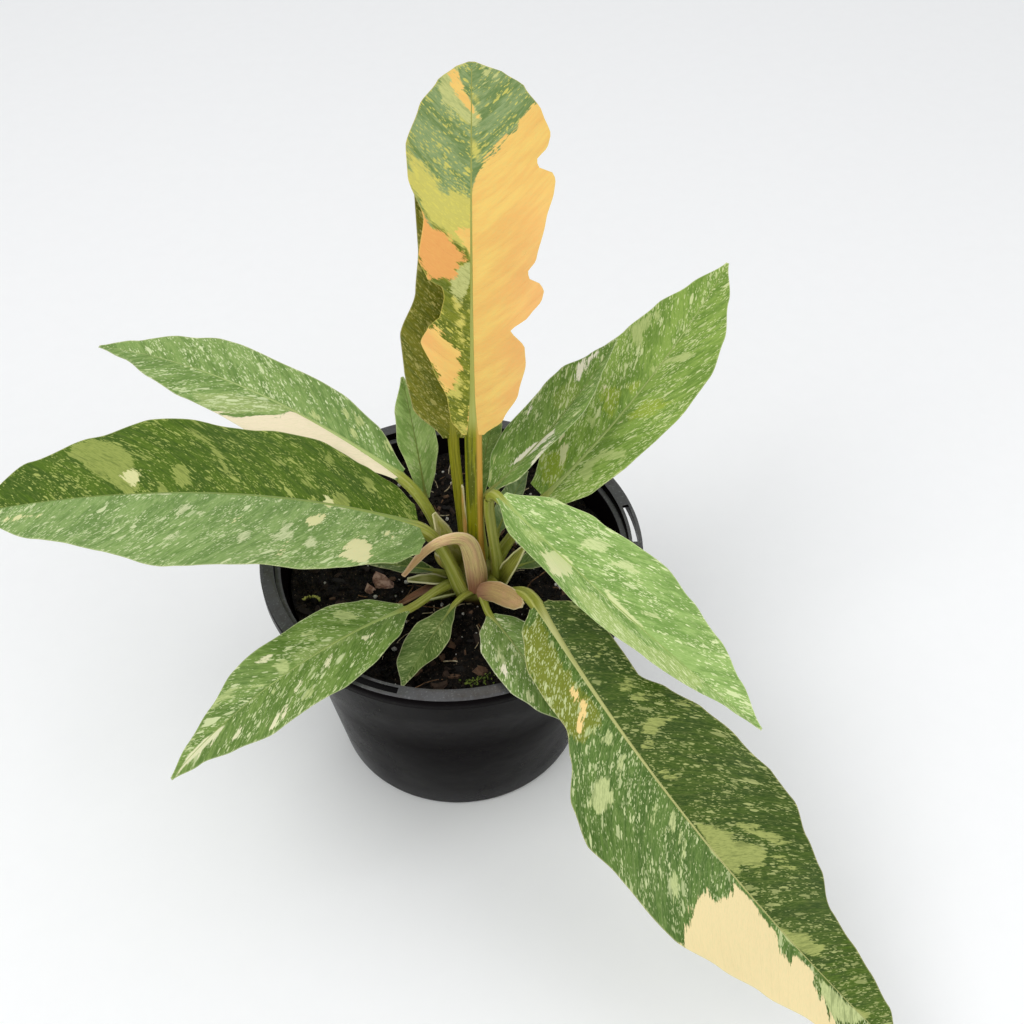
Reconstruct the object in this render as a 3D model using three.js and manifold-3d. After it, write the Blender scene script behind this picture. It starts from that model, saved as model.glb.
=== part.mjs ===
// A variegated philodendron in a nursery pot: pot, soil, crown, leaves and the sheaths round the crown.
// Millimetres, +Z up. The origin is the centre of the pot's underside.
import * as THREE from 'three';
import { mergeVertices } from 'three/addons/utils/BufferGeometryUtils.js';
import Module from 'manifold-3d';

const wasm = await Module();
wasm.setup();

// Pot
const POT_HEIGHT = 107;
const RIM_RADIUS = 76;
const FLANGE_WIDTH = 5.6;
const FLANGE_THICKNESS = 1.5;
const LIP_DEPTH = 5.4;
const LIP_THICKNESS = 1.3;
const COLLAR_THICKNESS = 1.2;
const COLLAR_DEPTH = 5.5;
const SHOULDER_DEPTH = 7.5;
const EDGE_ROUNDING = 0.7;
const WALL = 1.6;
const WALL_TOP_RADIUS = 69.2;
const BASE_RADIUS = 54;
const FLOOR_THICKNESS = 4.2;
const CHANNEL_HEIGHT = 2.4;
const PAD_RADIUS = 22;
const CHANNEL_OUTER_RADIUS = 45;
const CHANNEL_SLOPE = 2;
const FOOT_ROUNDING = 1.4;
const FLOOR_FILLET = 2;
const STEP_DEPTH = 3.6;
const STEP_WIDTH = 2.4;
const POT_SIDES = 40;
const DRAIN_COUNT = 6;
const DRAIN_RADIUS = 4.5;
const DRAIN_RING = 34;
const SLOT_COUNT = 3;
const SLOT_RADIUS = 73.2;
const SLOT_WIDTH = 2.6;
const SLOT_ARC = 16;
const SLOT_AZIMUTH = 4;
const SLOT_CUT_DEPTH = 3;

// Soil
const SOIL_LEVEL = 94;
const SOIL_GAP = 0.3;
const SOIL_SIDES = 36;
const SOIL_RINGS = 7;
const SOIL_RELIEF = 1.1;
const SOIL_RIPPLE = { x: 0.31, y: 0.27, phase: 1.2 };
const SOIL_SWELL = { x: 0.13, y: -0.19, phase: 2.1, share: 0.6 };
const SOIL_FACET_GAP = 0.4;
const CHIP_COUNT = 14;
const CHIP_SIZE = 5;
const CHIP_INNER_RING = 22;
const CHIP_RING_WIDTH = 38;
const CHIP_SEED = 11;

// Crown. Its profile lists [share of the radius, height].
const CROWN_AXIS = [8, -10];
const CROWN_RADIUS = 10.5;
const CROWN_FOOT = 66;
const CROWN_PROFILE = [
  [0, CROWN_FOOT], [0.55, 68], [0.85, 78], [0.95, 91], [1, 95], [0.96, 98], [0.78, 102], [0.45, 104],
  [0, 104],
];
const CROWN_GAP = 0.3;
const CROWN_SIDES = 18;

// Leaves
const BLADE_THICKNESS = 0.8;
const RIB_DEPTH = 1.4;
const RIB_TAPER = 0.8;
const LEFT_WAVE_PHASE = 0.8;
const RIGHT_WAVE_PHASE = 0.5;
const STALK_SIDES = 6;
const STALK_STEPS = 6;
// How much a stalk leans up from the straight line to its neck, where its leaf names no lean of its own.
const STALK_LEAN = 0.5;
const STALK_START_SHARE = 0.33;
const STALK_END_SHARE = 0.3;
const NECK_DROP = 0.6;
const RUN_ON_SHARE = 0.06;
const RUN_ON_DROP = 0.8;
const ROOT_DEPTH = 3;
const SOCKET_GAP = 0.35;
const ACROSS = [-1, -0.62, -0.12, 0, 0.12, 0.62, 1];
const ACROSS_WIDE = [-1, -0.72, -0.4, -0.1, 0, 0.1, 0.4, 0.72, 1];
const ACROSS_SMALL = [-1, -0.5, 0, 0.5, 1];

const COLOURS = {
  pot: 0x1c1a1b,
  soil: 0x2a211c,
  crown: 0x8a9440,
  leaf: 0x5d7f3c,
  fireLeaf: 0xe0b070,
  paleLeaf: 0x8fae62,
  sheathGreen: 0xa8b25a,
  sheathTan: 0xc9a173,
};

// A foot is where the stalk leaves the crown, a neck is where the blade begins.
// Azimuth turns from +X towards +Y; rise is the midrib's slope at the neck and at the tip, in degrees.
// Widths are half widths at evenly spaced stations from neck to tip, or [station, half width] pairs.
const LEAVES = [
  {
    name: 'leaf_fire', colour: 'fireLeaf', foot: [9, -11, 104], neck: [10, -3, 168], stalk: 3.2,
    azimuth: 83, rise: [76, 60], length: 127.5, sweep: 0, roll: -4, fold: 10, wave: 1.2, waves: 3,
    rows: 28, across: ACROSS_WIDE,
    left: [[0, 4], [0.05, 8], [0.12, 9], [0.215, 14], [0.288, 18], [0.329, 15], [0.355, 11], [0.41, 9.5],
      [0.437, 10], [0.462, 15], [0.514, 18], [0.617, 16], [0.72, 21], [0.8, 21.5], [0.894, 17], [0.955, 11],
      [0.985, 6], [1, 1]],
    right: [[0, 4], [0.05, 11], [0.134, 16.5], [0.226, 19], [0.277, 18.5], [0.319, 13.5], [0.36, 20],
      [0.432, 25], [0.473, 19.5], [0.514, 22], [0.617, 25], [0.72, 28], [0.755, 21.5], [0.822, 26],
      [0.884, 23], [0.945, 17], [0.975, 10.5], [1, 1]],
  },
  {
    name: 'leaf_rear_upright', colour: 'leaf', foot: [5.5, -2, 101], neck: [3, 9, 156], stalk: 2.1,
    azimuth: 90, rise: [79, 68], length: 118, sweep: 0, roll: 0, fold: 10, wave: 0.8, waves: 3,
    rows: 16, across: ACROSS,
    left: [4, 14.5, 16.5, 17, 10.5, 8.5, 8.5, 8.5, 1], right: [4, 13, 16, 16, 12, 10, 10, 8, 1],
  },
  {
    name: 'leaf_upper_left', colour: 'paleLeaf', foot: [0, -5.5, 101], neck: [-18, 7.4, 139.4], stalk: 2.2,
    azimuth: 146.4, rise: [21, -14.5], length: 149, sweep: 2, roll: 14, fold: 10, wave: 1.2, waves: 3,
    rows: 18, across: ACROSS,
    left: [3, 8.5, 14, 18, 17, 15, 11.5, 5, 0.6], right: [3, 11.5, 14.8, 16, 15.5, 15, 12, 5, 0.6],
  },
  {
    name: 'leaf_left', colour: 'paleLeaf', foot: [2.5, -17.5, 101], neck: [-12, -12, 132], stalk: 2.6,
    azimuth: 190, rise: [36, 0], length: 158, sweep: 2, roll: 0, fold: 6, wave: 1.6, waves: 3,
    rows: 20, across: ACROSS_WIDE,
    left: [[0, 10], [0.04, 20], [0.125, 29.5], [0.25, 35], [0.375, 37.8], [0.5, 40], [0.625, 37],
      [0.75, 29], [0.875, 18.8], [1, 1]],
    right: [[0, 10], [0.06, 18.5], [0.125, 23.8], [0.25, 30.5], [0.375, 33.2], [0.5, 33.8], [0.625, 33],
      [0.75, 27.5], [0.875, 18], [1, 1]],
  },
  {
    name: 'leaf_lower_left', colour: 'leaf', foot: [-0.5, -14.5, 99.5], neck: [-19, -31, 106], stalk: 1.7,
    azimuth: 219, rise: [22, -45], length: 111, sweep: -14, roll: 7, fold: 8, wave: 1.2, waves: 3,
    rows: 16, across: ACROSS,
    left: [2.5, 12, 17, 19, 18.5, 17, 12.5, 6, 0.6], right: [2.5, 10.5, 13.5, 14.5, 14, 12.5, 8.5, 4, 0.6],
  },
  {
    name: 'leaf_front_small', colour: 'leaf', foot: [6, -20, 99.5], neck: [-1, -28, 102.5], stalk: 1.1,
    azimuth: 239, rise: [4, -14], length: 40, sweep: 0, roll: 0, fold: 12, wave: 0.4, waves: 2,
    rows: 8, across: ACROSS_SMALL,
    left: [1.4, 4.5, 7.5, 7, 3, 0.6], right: [1.4, 4.5, 7.5, 8, 6.5, 0.6],
  },
  {
    name: 'leaf_front_right_small', colour: 'leaf', foot: [10, -20, 99.5], neck: [13, -36, 105],
    stalk: 1.4, azimuth: -68, rise: [18, -20], length: 56, sweep: 6, roll: 0, fold: 5, wave: 0.5,
    waves: 2, rows: 10, across: ACROSS_SMALL,
    left: [2, 7.5, 11.5, 12, 11, 7.5, 0.6], right: [2, 9, 13, 13, 12, 8, 0.6],
  },
  {
    name: 'leaf_great', colour: 'leaf', foot: [14, -16.5, 100], neck: [30, -48, 123.5], stalk: 2.6,
    lean: -0.5, azimuth: -62, rise: [-22, -27], length: 194, sweep: 21, roll: -8, fold: 9, wave: 2.4,
    waves: 4, rows: 26, across: ACROSS_WIDE,
    left: [[0, 4], [0.03, 12], [0.08, 16], [0.21, 17], [0.26, 23], [0.33, 28], [0.42, 32], [0.5, 35],
      [0.57, 33], [0.63, 28], [0.7, 25], [0.76, 18], [0.82, 15], [0.88, 12.5], [0.95, 9], [1, 1]],
    right: [[0, 4], [0.03, 11], [0.1, 17], [0.16, 17.5], [0.22, 17], [0.27, 22], [0.33, 31], [0.4, 36],
      [0.46, 34], [0.52, 33], [0.6, 32], [0.68, 27], [0.76, 21], [0.85, 15], [0.93, 11], [1, 1]],
  },
  {
    name: 'leaf_right', colour: 'paleLeaf', foot: [17.3, -12.7, 101.5], neck: [19, -14, 146], stalk: 2,
    azimuth: -50.8, rise: [-14, -28], length: 126, sweep: 17, roll: 5, fold: 24, wave: 0.8, waves: 3,
    rows: 16, across: ACROSS,
    left: [3, 14.2, 19.3, 22.2, 22.9, 20.5, 15.8, 9, 0.6], right: [3, 14, 16, 17.8, 18, 15, 9.8, 4, 0.6],
  },
  {
    name: 'leaf_upper_right', colour: 'paleLeaf', foot: [16.4, -6, 100], neck: [37, 5, 125], stalk: 2.2,
    azimuth: 28, rise: [32, 28], length: 119, sweep: 23, roll: -5, fold: 10, wave: 1, waves: 3,
    rows: 16, across: ACROSS,
    left: [8, 15, 19, 21, 23, 20, 15.5, 8.5, 0.6], right: [8, 15.5, 19, 20.5, 22, 21.5, 16.5, 9, 0.6],
  },
  {
    name: 'leaf_upper_right_rear', colour: 'leaf', foot: [12, -4.4, 102.5], neck: [16, -2, 138], stalk: 1.7,
    azimuth: 28, rise: [28, 46], length: 74, sweep: 8, roll: 16, fold: 16, wave: 0.8, waves: 2,
    rows: 12, across: ACROSS,
    left: [3, 13, 16, 17, 16, 13, 7, 0.6], right: [3, 10.5, 11, 12.5, 13, 11, 6, 0.6],
  },
  {
    name: 'leaf_back_left', colour: 'leaf', foot: [1.5, -2.5, 99.5], neck: [-9, 11, 122], stalk: 1.2,
    azimuth: 132, rise: [85, 78], length: 58, sweep: -5, roll: 4, fold: 10, wave: 0.4, waves: 2,
    rows: 8, across: ACROSS_SMALL,
    left: [1.6, 5, 6.5, 9, 7, 0.6], right: [1.6, 6, 8.5, 8.5, 6, 0.6],
  },
  {
    name: 'leaf_back', colour: 'leaf', foot: [10, -0.8, 99.5], neck: [10.5, 9, 116], stalk: 1.2,
    azimuth: 65, rise: [70, 52], length: 46, sweep: -8, roll: 0, fold: 12, wave: 0.4, waves: 2,
    rows: 7, across: ACROSS_SMALL,
    left: [1.4, 3, 5, 6.5, 4.5, 0.6], right: [1.4, 3, 5, 6.5, 5, 0.6],
  },
  {
    name: 'leaf_right_rear_small', colour: 'leaf', foot: [14.2, -1.4, 98.8], neck: [18.5, 4, 108], stalk: 1.1,
    azimuth: 42, rise: [62, 40], length: 28, sweep: 0, roll: 0, fold: 12, wave: 0.3, waves: 2,
    rows: 6, across: ACROSS_SMALL,
    left: [1.4, 5, 5.5, 4, 0.6], right: [1.4, 5, 5.5, 4, 0.6],
  },
  {
    name: 'leaf_right_low_small', colour: 'leaf', foot: [18.6, -9.6, 98.8], neck: [24.5, -9, 101], stalk: 1.1,
    azimuth: 8, rise: [14, 2], length: 26, sweep: 0, roll: 0, fold: 12, wave: 0.3, waves: 2,
    rows: 6, across: ACROSS_SMALL,
    left: [1.4, 4.5, 5, 3.5, 0.6], right: [1.4, 4.5, 5, 3.5, 0.6],
  },
  {
    name: 'leaf_left_low_small', colour: 'leaf', foot: [-1.5, -10, 99], neck: [-8, -9, 102], stalk: 1.1,
    azimuth: 176, rise: [18, 2], length: 26, sweep: 0, roll: 0, fold: 12, wave: 0.3, waves: 2,
    rows: 6, across: ACROSS_SMALL,
    left: [1.4, 4, 4.5, 3, 0.6], right: [1.4, 4, 4.5, 3, 0.6],
  },
];

// A sheath follows a spine through real points, and its hollow side opens towards a direction.
// Wrap is half the angle that its section bends round, in degrees.
const SHEATHS = [
  {
    name: 'sheath_tall', colour: 'sheathGreen', spine: [[3, -8, 101], [-2, -8.5, 117], [-6, -7, 132]],
    opens: [0.6, -0.8, 0.3], wrap: 50, rows: 6, half: [3, 4.5, 3.6, 0.8],
  },
  {
    name: 'sheath_middle', colour: 'sheathGreen', spine: [[7, -7, 103], [5.5, -6, 122], [5.5, -5, 144]],
    opens: [1, 0.3, 0], wrap: 45, rows: 8, half: [2.4, 4, 3, 1.4, 0.6],
  },
  {
    name: 'sheath_hooked', colour: 'sheathTan',
    spine: [
      [9, -20.5, 100], [8.5, -19, 113], [5.5, -17, 125.5], [-1.4, -18, 128.6], [-9.9, -20, 125.6],
      [-19.2, -22, 114.8],
    ],
    opens: [0, 1, -0.2], wrap: 50, rows: 14, half: [3.6, 4.4, 3.8, 2.7, 2.2, 1.5, 0.6],
  },
  {
    name: 'sheath_tongue', colour: 'sheathTan',
    spine: [[9, -22.5, 103.5], [14.5, -30, 111.5], [20, -39, 117.8], [24.6, -46, 121.6]],
    opens: [0.3, 0.5, -0.7], wrap: 45, rows: 9, half: [3, 3.9, 4.2, 4, 3.2, 0.8],
  },
  {
    name: 'sheath_boat', colour: 'sheathGreen', spine: [[19, -15, 99], [22, -15.5, 107], [28, -13, 117]],
    opens: [-0.6, -0.5, 0.6], wrap: 70, rows: 7, half: [2.4, 3.8, 3.8, 2.6, 0.8],
  },
  {
    name: 'sheath_low_left', colour: 'sheathGreen',
    spine: [[-1, -18, 97.5], [-6, -21.5, 100.5], [-11, -24.5, 103]],
    opens: [0, 0.2, 1], wrap: 75, rows: 5, half: [2.2, 3.4, 3.4, 1],
  },
  {
    name: 'sheath_wide_left', colour: 'sheathGreen', spine: [[-1.5, -9, 101], [-5, -12, 109], [-6, -15, 118]],
    opens: [0.8, 0.6, 0.2], wrap: 50, rows: 6, half: [2.6, 4.2, 3.8, 0.8],
  },
  {
    name: 'sheath_pointed_left', colour: 'sheathGreen',
    spine: [[-3, -13.5, 100], [-10, -16, 104.5], [-18, -17.5, 107]],
    opens: [0.2, -0.2, 1], wrap: 60, rows: 6, half: [1.6, 2.6, 2, 0.6],
  },
  {
    name: 'sheath_withered_left', colour: 'sheathTan',
    spine: [[-2.6, -11, 97.8], [-12, -18.5, 101], [-23, -24, 99.5]],
    opens: [0, 0.2, 1], wrap: 55, rows: 7, half: [1.4, 2, 1.8, 0.6],
  },
];

// Maths
const rad = THREE.MathUtils.degToRad;
const UP = new THREE.Vector3(0, 0, 1);
const vec = (list) => new THREE.Vector3(...list);

function seededRandom(seed) {
  const factor = 16807;
  const modulus = 2147483647;
  let state = seed;
  return () => {
    state = (state * factor) % modulus;
    return state / modulus;
  };
}

// A slope of degrees above level, at an azimuth.
function direction(azimuth, slope) {
  const flat = Math.cos(rad(slope));
  const turn = rad(azimuth);
  return new THREE.Vector3(flat * Math.cos(turn), flat * Math.sin(turn), Math.sin(rad(slope)));
}

function smoothStep(t) {
  return t * t * (3 - 2 * t);
}

// Half width at a station, eased between the listed stations.
function widthAt(list, t) {
  const pairs = Array.isArray(list[0]) ? list : list.map((w, i) => [i / (list.length - 1), w]);
  const next = pairs.findIndex(([at]) => at >= t);
  if (next <= 0) return pairs[0][1];
  const [before, after] = [pairs[next - 1], pairs[next]];
  const share = (t - before[0]) / (after[0] - before[0]);
  return THREE.MathUtils.lerp(before[1], after[1], (share + smoothStep(share)) / 2);
}

// Solids
function solidOf(geometry) {
  const bare = geometry.clone();
  bare.deleteAttribute('normal');
  bare.deleteAttribute('uv');
  const merged = mergeVertices(bare, 1e-4);
  return new wasm.Manifold(new wasm.Mesh({
    numProp: 3,
    vertProperties: new Float32Array(merged.attributes.position.array),
    triVerts: new Uint32Array(merged.index.array),
  }));
}

function geometryOf(solid) {
  const mesh = solid.getMesh();
  const geometry = new THREE.BufferGeometry();
  geometry.setAttribute('position', new THREE.BufferAttribute(new Float32Array(mesh.vertProperties), 3));
  geometry.setIndex(new THREE.BufferAttribute(new Uint32Array(mesh.triVerts), 1));
  return geometry;
}

function largestPiece(solid) {
  return solid.decompose().reduce((best, piece) => (piece.volume() > best.volume() ? piece : best));
}

// A thin body between two like grids of points, closed round its border.
function closedSheet(top, bottom) {
  const rows = top.length;
  const columns = top[0].length;
  const points = [...top.flat(), ...bottom.flat()];
  const under = rows * columns;
  const at = (i, j) => i * columns + j;
  const faces = [];
  const quad = (a, b, c, d) => faces.push(a, b, c, a, c, d);
  for (let i = 0; i < rows - 1; i += 1) {
    for (let j = 0; j < columns - 1; j += 1) {
      const [a, b, c, d] = [at(i, j), at(i, j + 1), at(i + 1, j + 1), at(i + 1, j)];
      faces.push(a, b, c, a, c, d);
      faces.push(under + a, under + c, under + b, under + a, under + d, under + c);
    }
  }
  for (let i = 0; i < rows - 1; i += 1) {
    const [near, far] = [at(i, columns - 1), at(i + 1, columns - 1)];
    quad(at(i, 0), at(i + 1, 0), under + at(i + 1, 0), under + at(i, 0));
    quad(far, near, under + near, under + far);
  }
  for (let j = 0; j < columns - 1; j += 1) {
    quad(at(0, j + 1), at(0, j), under + at(0, j), under + at(0, j + 1));
    quad(at(rows - 1, j), at(rows - 1, j + 1), under + at(rows - 1, j + 1), under + at(rows - 1, j));
  }
  const geometry = new THREE.BufferGeometry();
  const coordinates = points.flatMap((p) => [p.x, p.y, p.z]);
  geometry.setAttribute('position', new THREE.Float32BufferAttribute(coordinates, 3));
  geometry.setIndex(faces);
  return geometry;
}

function tube(points, radius) {
  const sides = Array.from({ length: STALK_SIDES }, (_, i) => {
    const angle = (i / STALK_SIDES) * Math.PI * 2;
    return new THREE.Vector2(Math.cos(angle) * radius, Math.sin(angle) * radius);
  });
  const path = new THREE.CatmullRomCurve3(points, false, 'centripetal');
  return new THREE.ExtrudeGeometry(new THREE.Shape(sides), {
    steps: points.length - 1, bevelEnabled: false, extrudePath: path,
  });
}

// Leaves
function midrib(leaf) {
  const step = leaf.length / leaf.rows;
  const frames = [];
  const point = vec(leaf.neck);
  for (let i = 0; i <= leaf.rows; i += 1) {
    const t = i / leaf.rows;
    const azimuth = leaf.azimuth + leaf.sweep * t;
    const slope = THREE.MathUtils.lerp(leaf.rise[0], leaf.rise[1], t);
    const along = direction(azimuth, slope);
    const side = direction(azimuth - 90, 0);
    const face = side.clone().cross(along);
    const turn = rad(leaf.roll);
    frames.push({
      t,
      point: point.clone(),
      side: side.clone().multiplyScalar(Math.cos(turn)).addScaledVector(face, Math.sin(turn)),
      face: face.clone().multiplyScalar(Math.cos(turn)).addScaledVector(side, -Math.sin(turn)),
      along,
    });
    const half = (i + 0.5) / leaf.rows;
    const middle = THREE.MathUtils.lerp(leaf.rise[0], leaf.rise[1], half);
    point.addScaledVector(direction(leaf.azimuth + leaf.sweep * half, middle), step);
  }
  return frames;
}

function bladePoint(leaf, frame, v) {
  const width = widthAt(v < 0 ? leaf.left : leaf.right, frame.t) * Math.abs(v);
  const bend = rad(leaf.fold);
  const phase = frame.t * leaf.waves + (v < 0 ? LEFT_WAVE_PHASE : RIGHT_WAVE_PHASE);
  const ripple = leaf.wave * v * v * Math.sin(phase * Math.PI * 2) * Math.sin(frame.t * Math.PI);
  return frame.point.clone()
    .addScaledVector(frame.side, Math.sign(v) * width * Math.cos(bend))
    .addScaledVector(frame.face, width * Math.sin(bend) + ripple);
}

function blade(leaf) {
  const frames = midrib(leaf);
  const top = frames.map((frame) => leaf.across.map((v) => bladePoint(leaf, frame, v)));
  const bottom = frames.map((frame, i) => leaf.across.map((v, j) => {
    const rib = v === 0 ? RIB_DEPTH * (1 - RIB_TAPER * frame.t) : 0;
    return top[i][j].clone().addScaledVector(frame.face, -BLADE_THICKNESS - rib);
  }));
  return closedSheet(top, bottom);
}

// The stalk rises from its foot, bends into the midrib's slope and runs on a little way under the blade.
function stalkPoints(leaf) {
  const foot = vec(leaf.foot);
  const neck = vec(leaf.neck);
  const reach = neck.distanceTo(foot);
  const start = neck.clone().sub(foot).normalize().addScaledVector(UP, leaf.lean ?? STALK_LEAN).normalize();
  const end = direction(leaf.azimuth, leaf.rise[0]);
  const face = direction(leaf.azimuth, leaf.rise[0] + 90);
  const under = neck.clone().addScaledVector(face, -leaf.stalk * NECK_DROP);
  const curve = new THREE.CubicBezierCurve3(
    foot,
    foot.clone().addScaledVector(start, reach * STALK_START_SHARE),
    under.clone().addScaledVector(end, -reach * STALK_END_SHARE),
    under,
  );
  const points = curve.getPoints(STALK_STEPS);
  points.unshift(foot.clone().addScaledVector(start, -ROOT_DEPTH));
  const runOn = neck.clone().addScaledVector(end, leaf.length * RUN_ON_SHARE);
  points.push(runOn.addScaledVector(face, -leaf.stalk * RUN_ON_DROP));
  return points;
}

function leafSolid(leaf) {
  return solidOf(blade(leaf)).add(solidOf(tube(stalkPoints(leaf), leaf.stalk)));
}

// Sheaths
function sheath(sheathing, grow) {
  const spine = sheathing.spine.map(vec);
  const curve = new THREE.CatmullRomCurve3(spine, false, 'centripetal');
  const opens = vec(sheathing.opens);
  const wrap = rad(sheathing.wrap);
  const top = [];
  const bottom = [];
  for (let i = 0; i <= sheathing.rows; i += 1) {
    const t = i / sheathing.rows;
    const point = curve.getPoint(t);
    const along = curve.getTangent(t);
    const face = opens.clone().addScaledVector(along, -opens.dot(along)).normalize();
    const side = face.clone().cross(along);
    const half = widthAt(sheathing.half, t) + grow;
    const radius = half / wrap;
    if (i === 0) point.addScaledVector(along, -grow);
    const ring = (inward) => ACROSS_SMALL.map((v) => {
      const turn = v * wrap;
      return point.clone()
        .addScaledVector(side, -(radius - inward) * Math.sin(turn))
        .addScaledVector(face, radius - (radius - inward) * Math.cos(turn));
    });
    top.push(ring(BLADE_THICKNESS / 2 + grow));
    bottom.push(ring(-BLADE_THICKNESS / 2 - grow));
  }
  return solidOf(closedSheet(top, bottom));
}

// Crown
function upright(geometry, x, y) {
  return geometry.rotateX(Math.PI / 2).translate(x, y, 0);
}

function crown(sockets) {
  const outline = CROWN_PROFILE.map(([share, z]) => new THREE.Vector2(share * CROWN_RADIUS, z));
  const stub = solidOf(upright(new THREE.LatheGeometry(outline, CROWN_SIDES), ...CROWN_AXIS));
  return largestPiece(sockets.reduce((left, socket) => left.subtract(socket), stub));
}

// Pot
function innerRadius(z) {
  const share = (z - FLOOR_THICKNESS) / (POT_HEIGHT - STEP_DEPTH - FLOOR_THICKNESS);
  return THREE.MathUtils.lerp(BASE_RADIUS - WALL, WALL_TOP_RADIUS - WALL, share);
}

function potProfile() {
  const lipFoot = POT_HEIGHT - LIP_DEPTH;
  const lipInside = RIM_RADIUS - LIP_THICKNESS;
  const flangeUnderside = POT_HEIGHT - FLANGE_THICKNESS;
  const throat = RIM_RADIUS - FLANGE_WIDTH;
  const collar = throat + COLLAR_THICKNESS;
  const stepHeight = POT_HEIGHT - STEP_DEPTH;
  const floorCorner = FLOOR_THICKNESS + FLOOR_FILLET;
  return [
    [0, 0], [PAD_RADIUS, 0], [PAD_RADIUS + CHANNEL_SLOPE, CHANNEL_HEIGHT],
    [CHANNEL_OUTER_RADIUS, CHANNEL_HEIGHT], [CHANNEL_OUTER_RADIUS + CHANNEL_SLOPE, 0],
    [BASE_RADIUS - FOOT_ROUNDING, 0], [BASE_RADIUS, FOOT_ROUNDING],
    [WALL_TOP_RADIUS, POT_HEIGHT - SHOULDER_DEPTH], [collar, POT_HEIGHT - COLLAR_DEPTH],
    [collar, flangeUnderside], [lipInside, flangeUnderside], [lipInside, lipFoot], [RIM_RADIUS, lipFoot],
    [RIM_RADIUS, POT_HEIGHT - EDGE_ROUNDING], [RIM_RADIUS - EDGE_ROUNDING, POT_HEIGHT],
    [throat + EDGE_ROUNDING, POT_HEIGHT], [throat, POT_HEIGHT - EDGE_ROUNDING], [throat, stepHeight],
    [throat - STEP_WIDTH, stepHeight], [innerRadius(floorCorner), floorCorner],
    [innerRadius(floorCorner) - FLOOR_FILLET, FLOOR_THICKNESS], [0, FLOOR_THICKNESS],
  ].map(([x, z]) => new THREE.Vector2(x, z));
}

function drainHole(index) {
  const angle = (index / DRAIN_COUNT) * Math.PI * 2;
  const hole = new THREE.CylinderGeometry(DRAIN_RADIUS, DRAIN_RADIUS, FLOOR_THICKNESS * 3, 10);
  return solidOf(upright(hole, DRAIN_RING * Math.cos(angle), DRAIN_RING * Math.sin(angle)));
}

// A curved slot through the flange, for the leg of a wire hanger.
function hangerSlot(index) {
  const start = rad(SLOT_AZIMUTH + (index * 360) / SLOT_COUNT - SLOT_ARC / 2);
  const shape = new THREE.Shape();
  shape.absarc(0, 0, SLOT_RADIUS + SLOT_WIDTH / 2, start, start + rad(SLOT_ARC), false);
  shape.absarc(0, 0, SLOT_RADIUS - SLOT_WIDTH / 2, start + rad(SLOT_ARC), start, true);
  const depth = SLOT_CUT_DEPTH + 1;
  const slot = new THREE.ExtrudeGeometry(shape, { depth, bevelEnabled: false, curveSegments: 4 });
  return solidOf(slot.translate(0, 0, POT_HEIGHT - SLOT_CUT_DEPTH));
}

function pot() {
  let solid = solidOf(upright(new THREE.LatheGeometry(potProfile(), POT_SIDES), 0, 0));
  for (let i = 0; i < DRAIN_COUNT; i += 1) solid = solid.subtract(drainHole(i));
  for (let i = 0; i < SLOT_COUNT; i += 1) solid = solid.subtract(hangerSlot(i));
  return solid;
}

// Soil
function soilHeight(x, y) {
  const ripple = Math.sin(x * SOIL_RIPPLE.x + SOIL_RIPPLE.phase) * Math.cos(y * SOIL_RIPPLE.y);
  const swell = Math.sin(x * SOIL_SWELL.x + y * SOIL_SWELL.y + SOIL_SWELL.phase);
  return SOIL_LEVEL + SOIL_RELIEF * (ripple + SOIL_SWELL.share * swell);
}

// A turned plug whose top rings are raised and lowered by the soil's relief.
function soilPlug() {
  const edge = innerRadius(SOIL_LEVEL) - SOIL_GAP - SOIL_FACET_GAP;
  const foot = FLOOR_THICKNESS + SOIL_GAP;
  const profile = [[0, foot], [innerRadius(foot) - FLOOR_FILLET - SOIL_FACET_GAP, foot]];
  for (let i = SOIL_RINGS; i >= 0; i -= 1) profile.push([(edge * i) / SOIL_RINGS, SOIL_LEVEL]);
  const outline = profile.map(([x, z]) => new THREE.Vector2(x, z));
  const plug = upright(new THREE.LatheGeometry(outline, SOIL_SIDES), 0, 0);
  const place = plug.attributes.position;
  for (let i = 0; i < place.count; i += 1) {
    const [x, y, z] = [place.getX(i), place.getY(i), place.getZ(i)];
    if (z > SOIL_LEVEL - 1) place.setZ(i, soilHeight(x, y));
  }
  return solidOf(plug);
}

function barkChip(random) {
  const angle = random() * Math.PI * 2;
  const ring = CHIP_INNER_RING + random() * CHIP_RING_WIDTH;
  const [x, y] = [ring * Math.cos(angle), ring * Math.sin(angle)];
  const size = CHIP_SIZE * (0.6 + random() * 0.7);
  const chip = new THREE.BoxGeometry(size * 1.5, size, size * 0.7);
  chip.rotateX(random() - 0.5).rotateY(random() - 0.5).rotateZ(random() * Math.PI);
  return solidOf(chip.translate(x, y, soilHeight(x, y) + size * 0.05));
}

function soil() {
  const random = seededRandom(CHIP_SEED);
  let solid = soilPlug();
  for (let i = 0; i < CHIP_COUNT; i += 1) solid = solid.add(barkChip(random));
  const holeRadius = CROWN_RADIUS + CROWN_GAP + 0.2;
  const depth = 40;
  const hole = new THREE.CylinderGeometry(holeRadius, holeRadius, depth, CROWN_SIDES);
  const place = upright(hole, ...CROWN_AXIS).translate(0, 0, CROWN_FOOT - CROWN_GAP + depth / 2);
  return largestPiece(solid.subtract(solidOf(place)));
}

// Assembly
const group = new THREE.Group();

function addPart(name, solid, colour, roughness) {
  const material = new THREE.MeshStandardMaterial({ color: COLOURS[colour], roughness, metalness: 0 });
  const mesh = new THREE.Mesh(geometryOf(solid), material);
  mesh.name = name;
  group.add(mesh);
}

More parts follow.
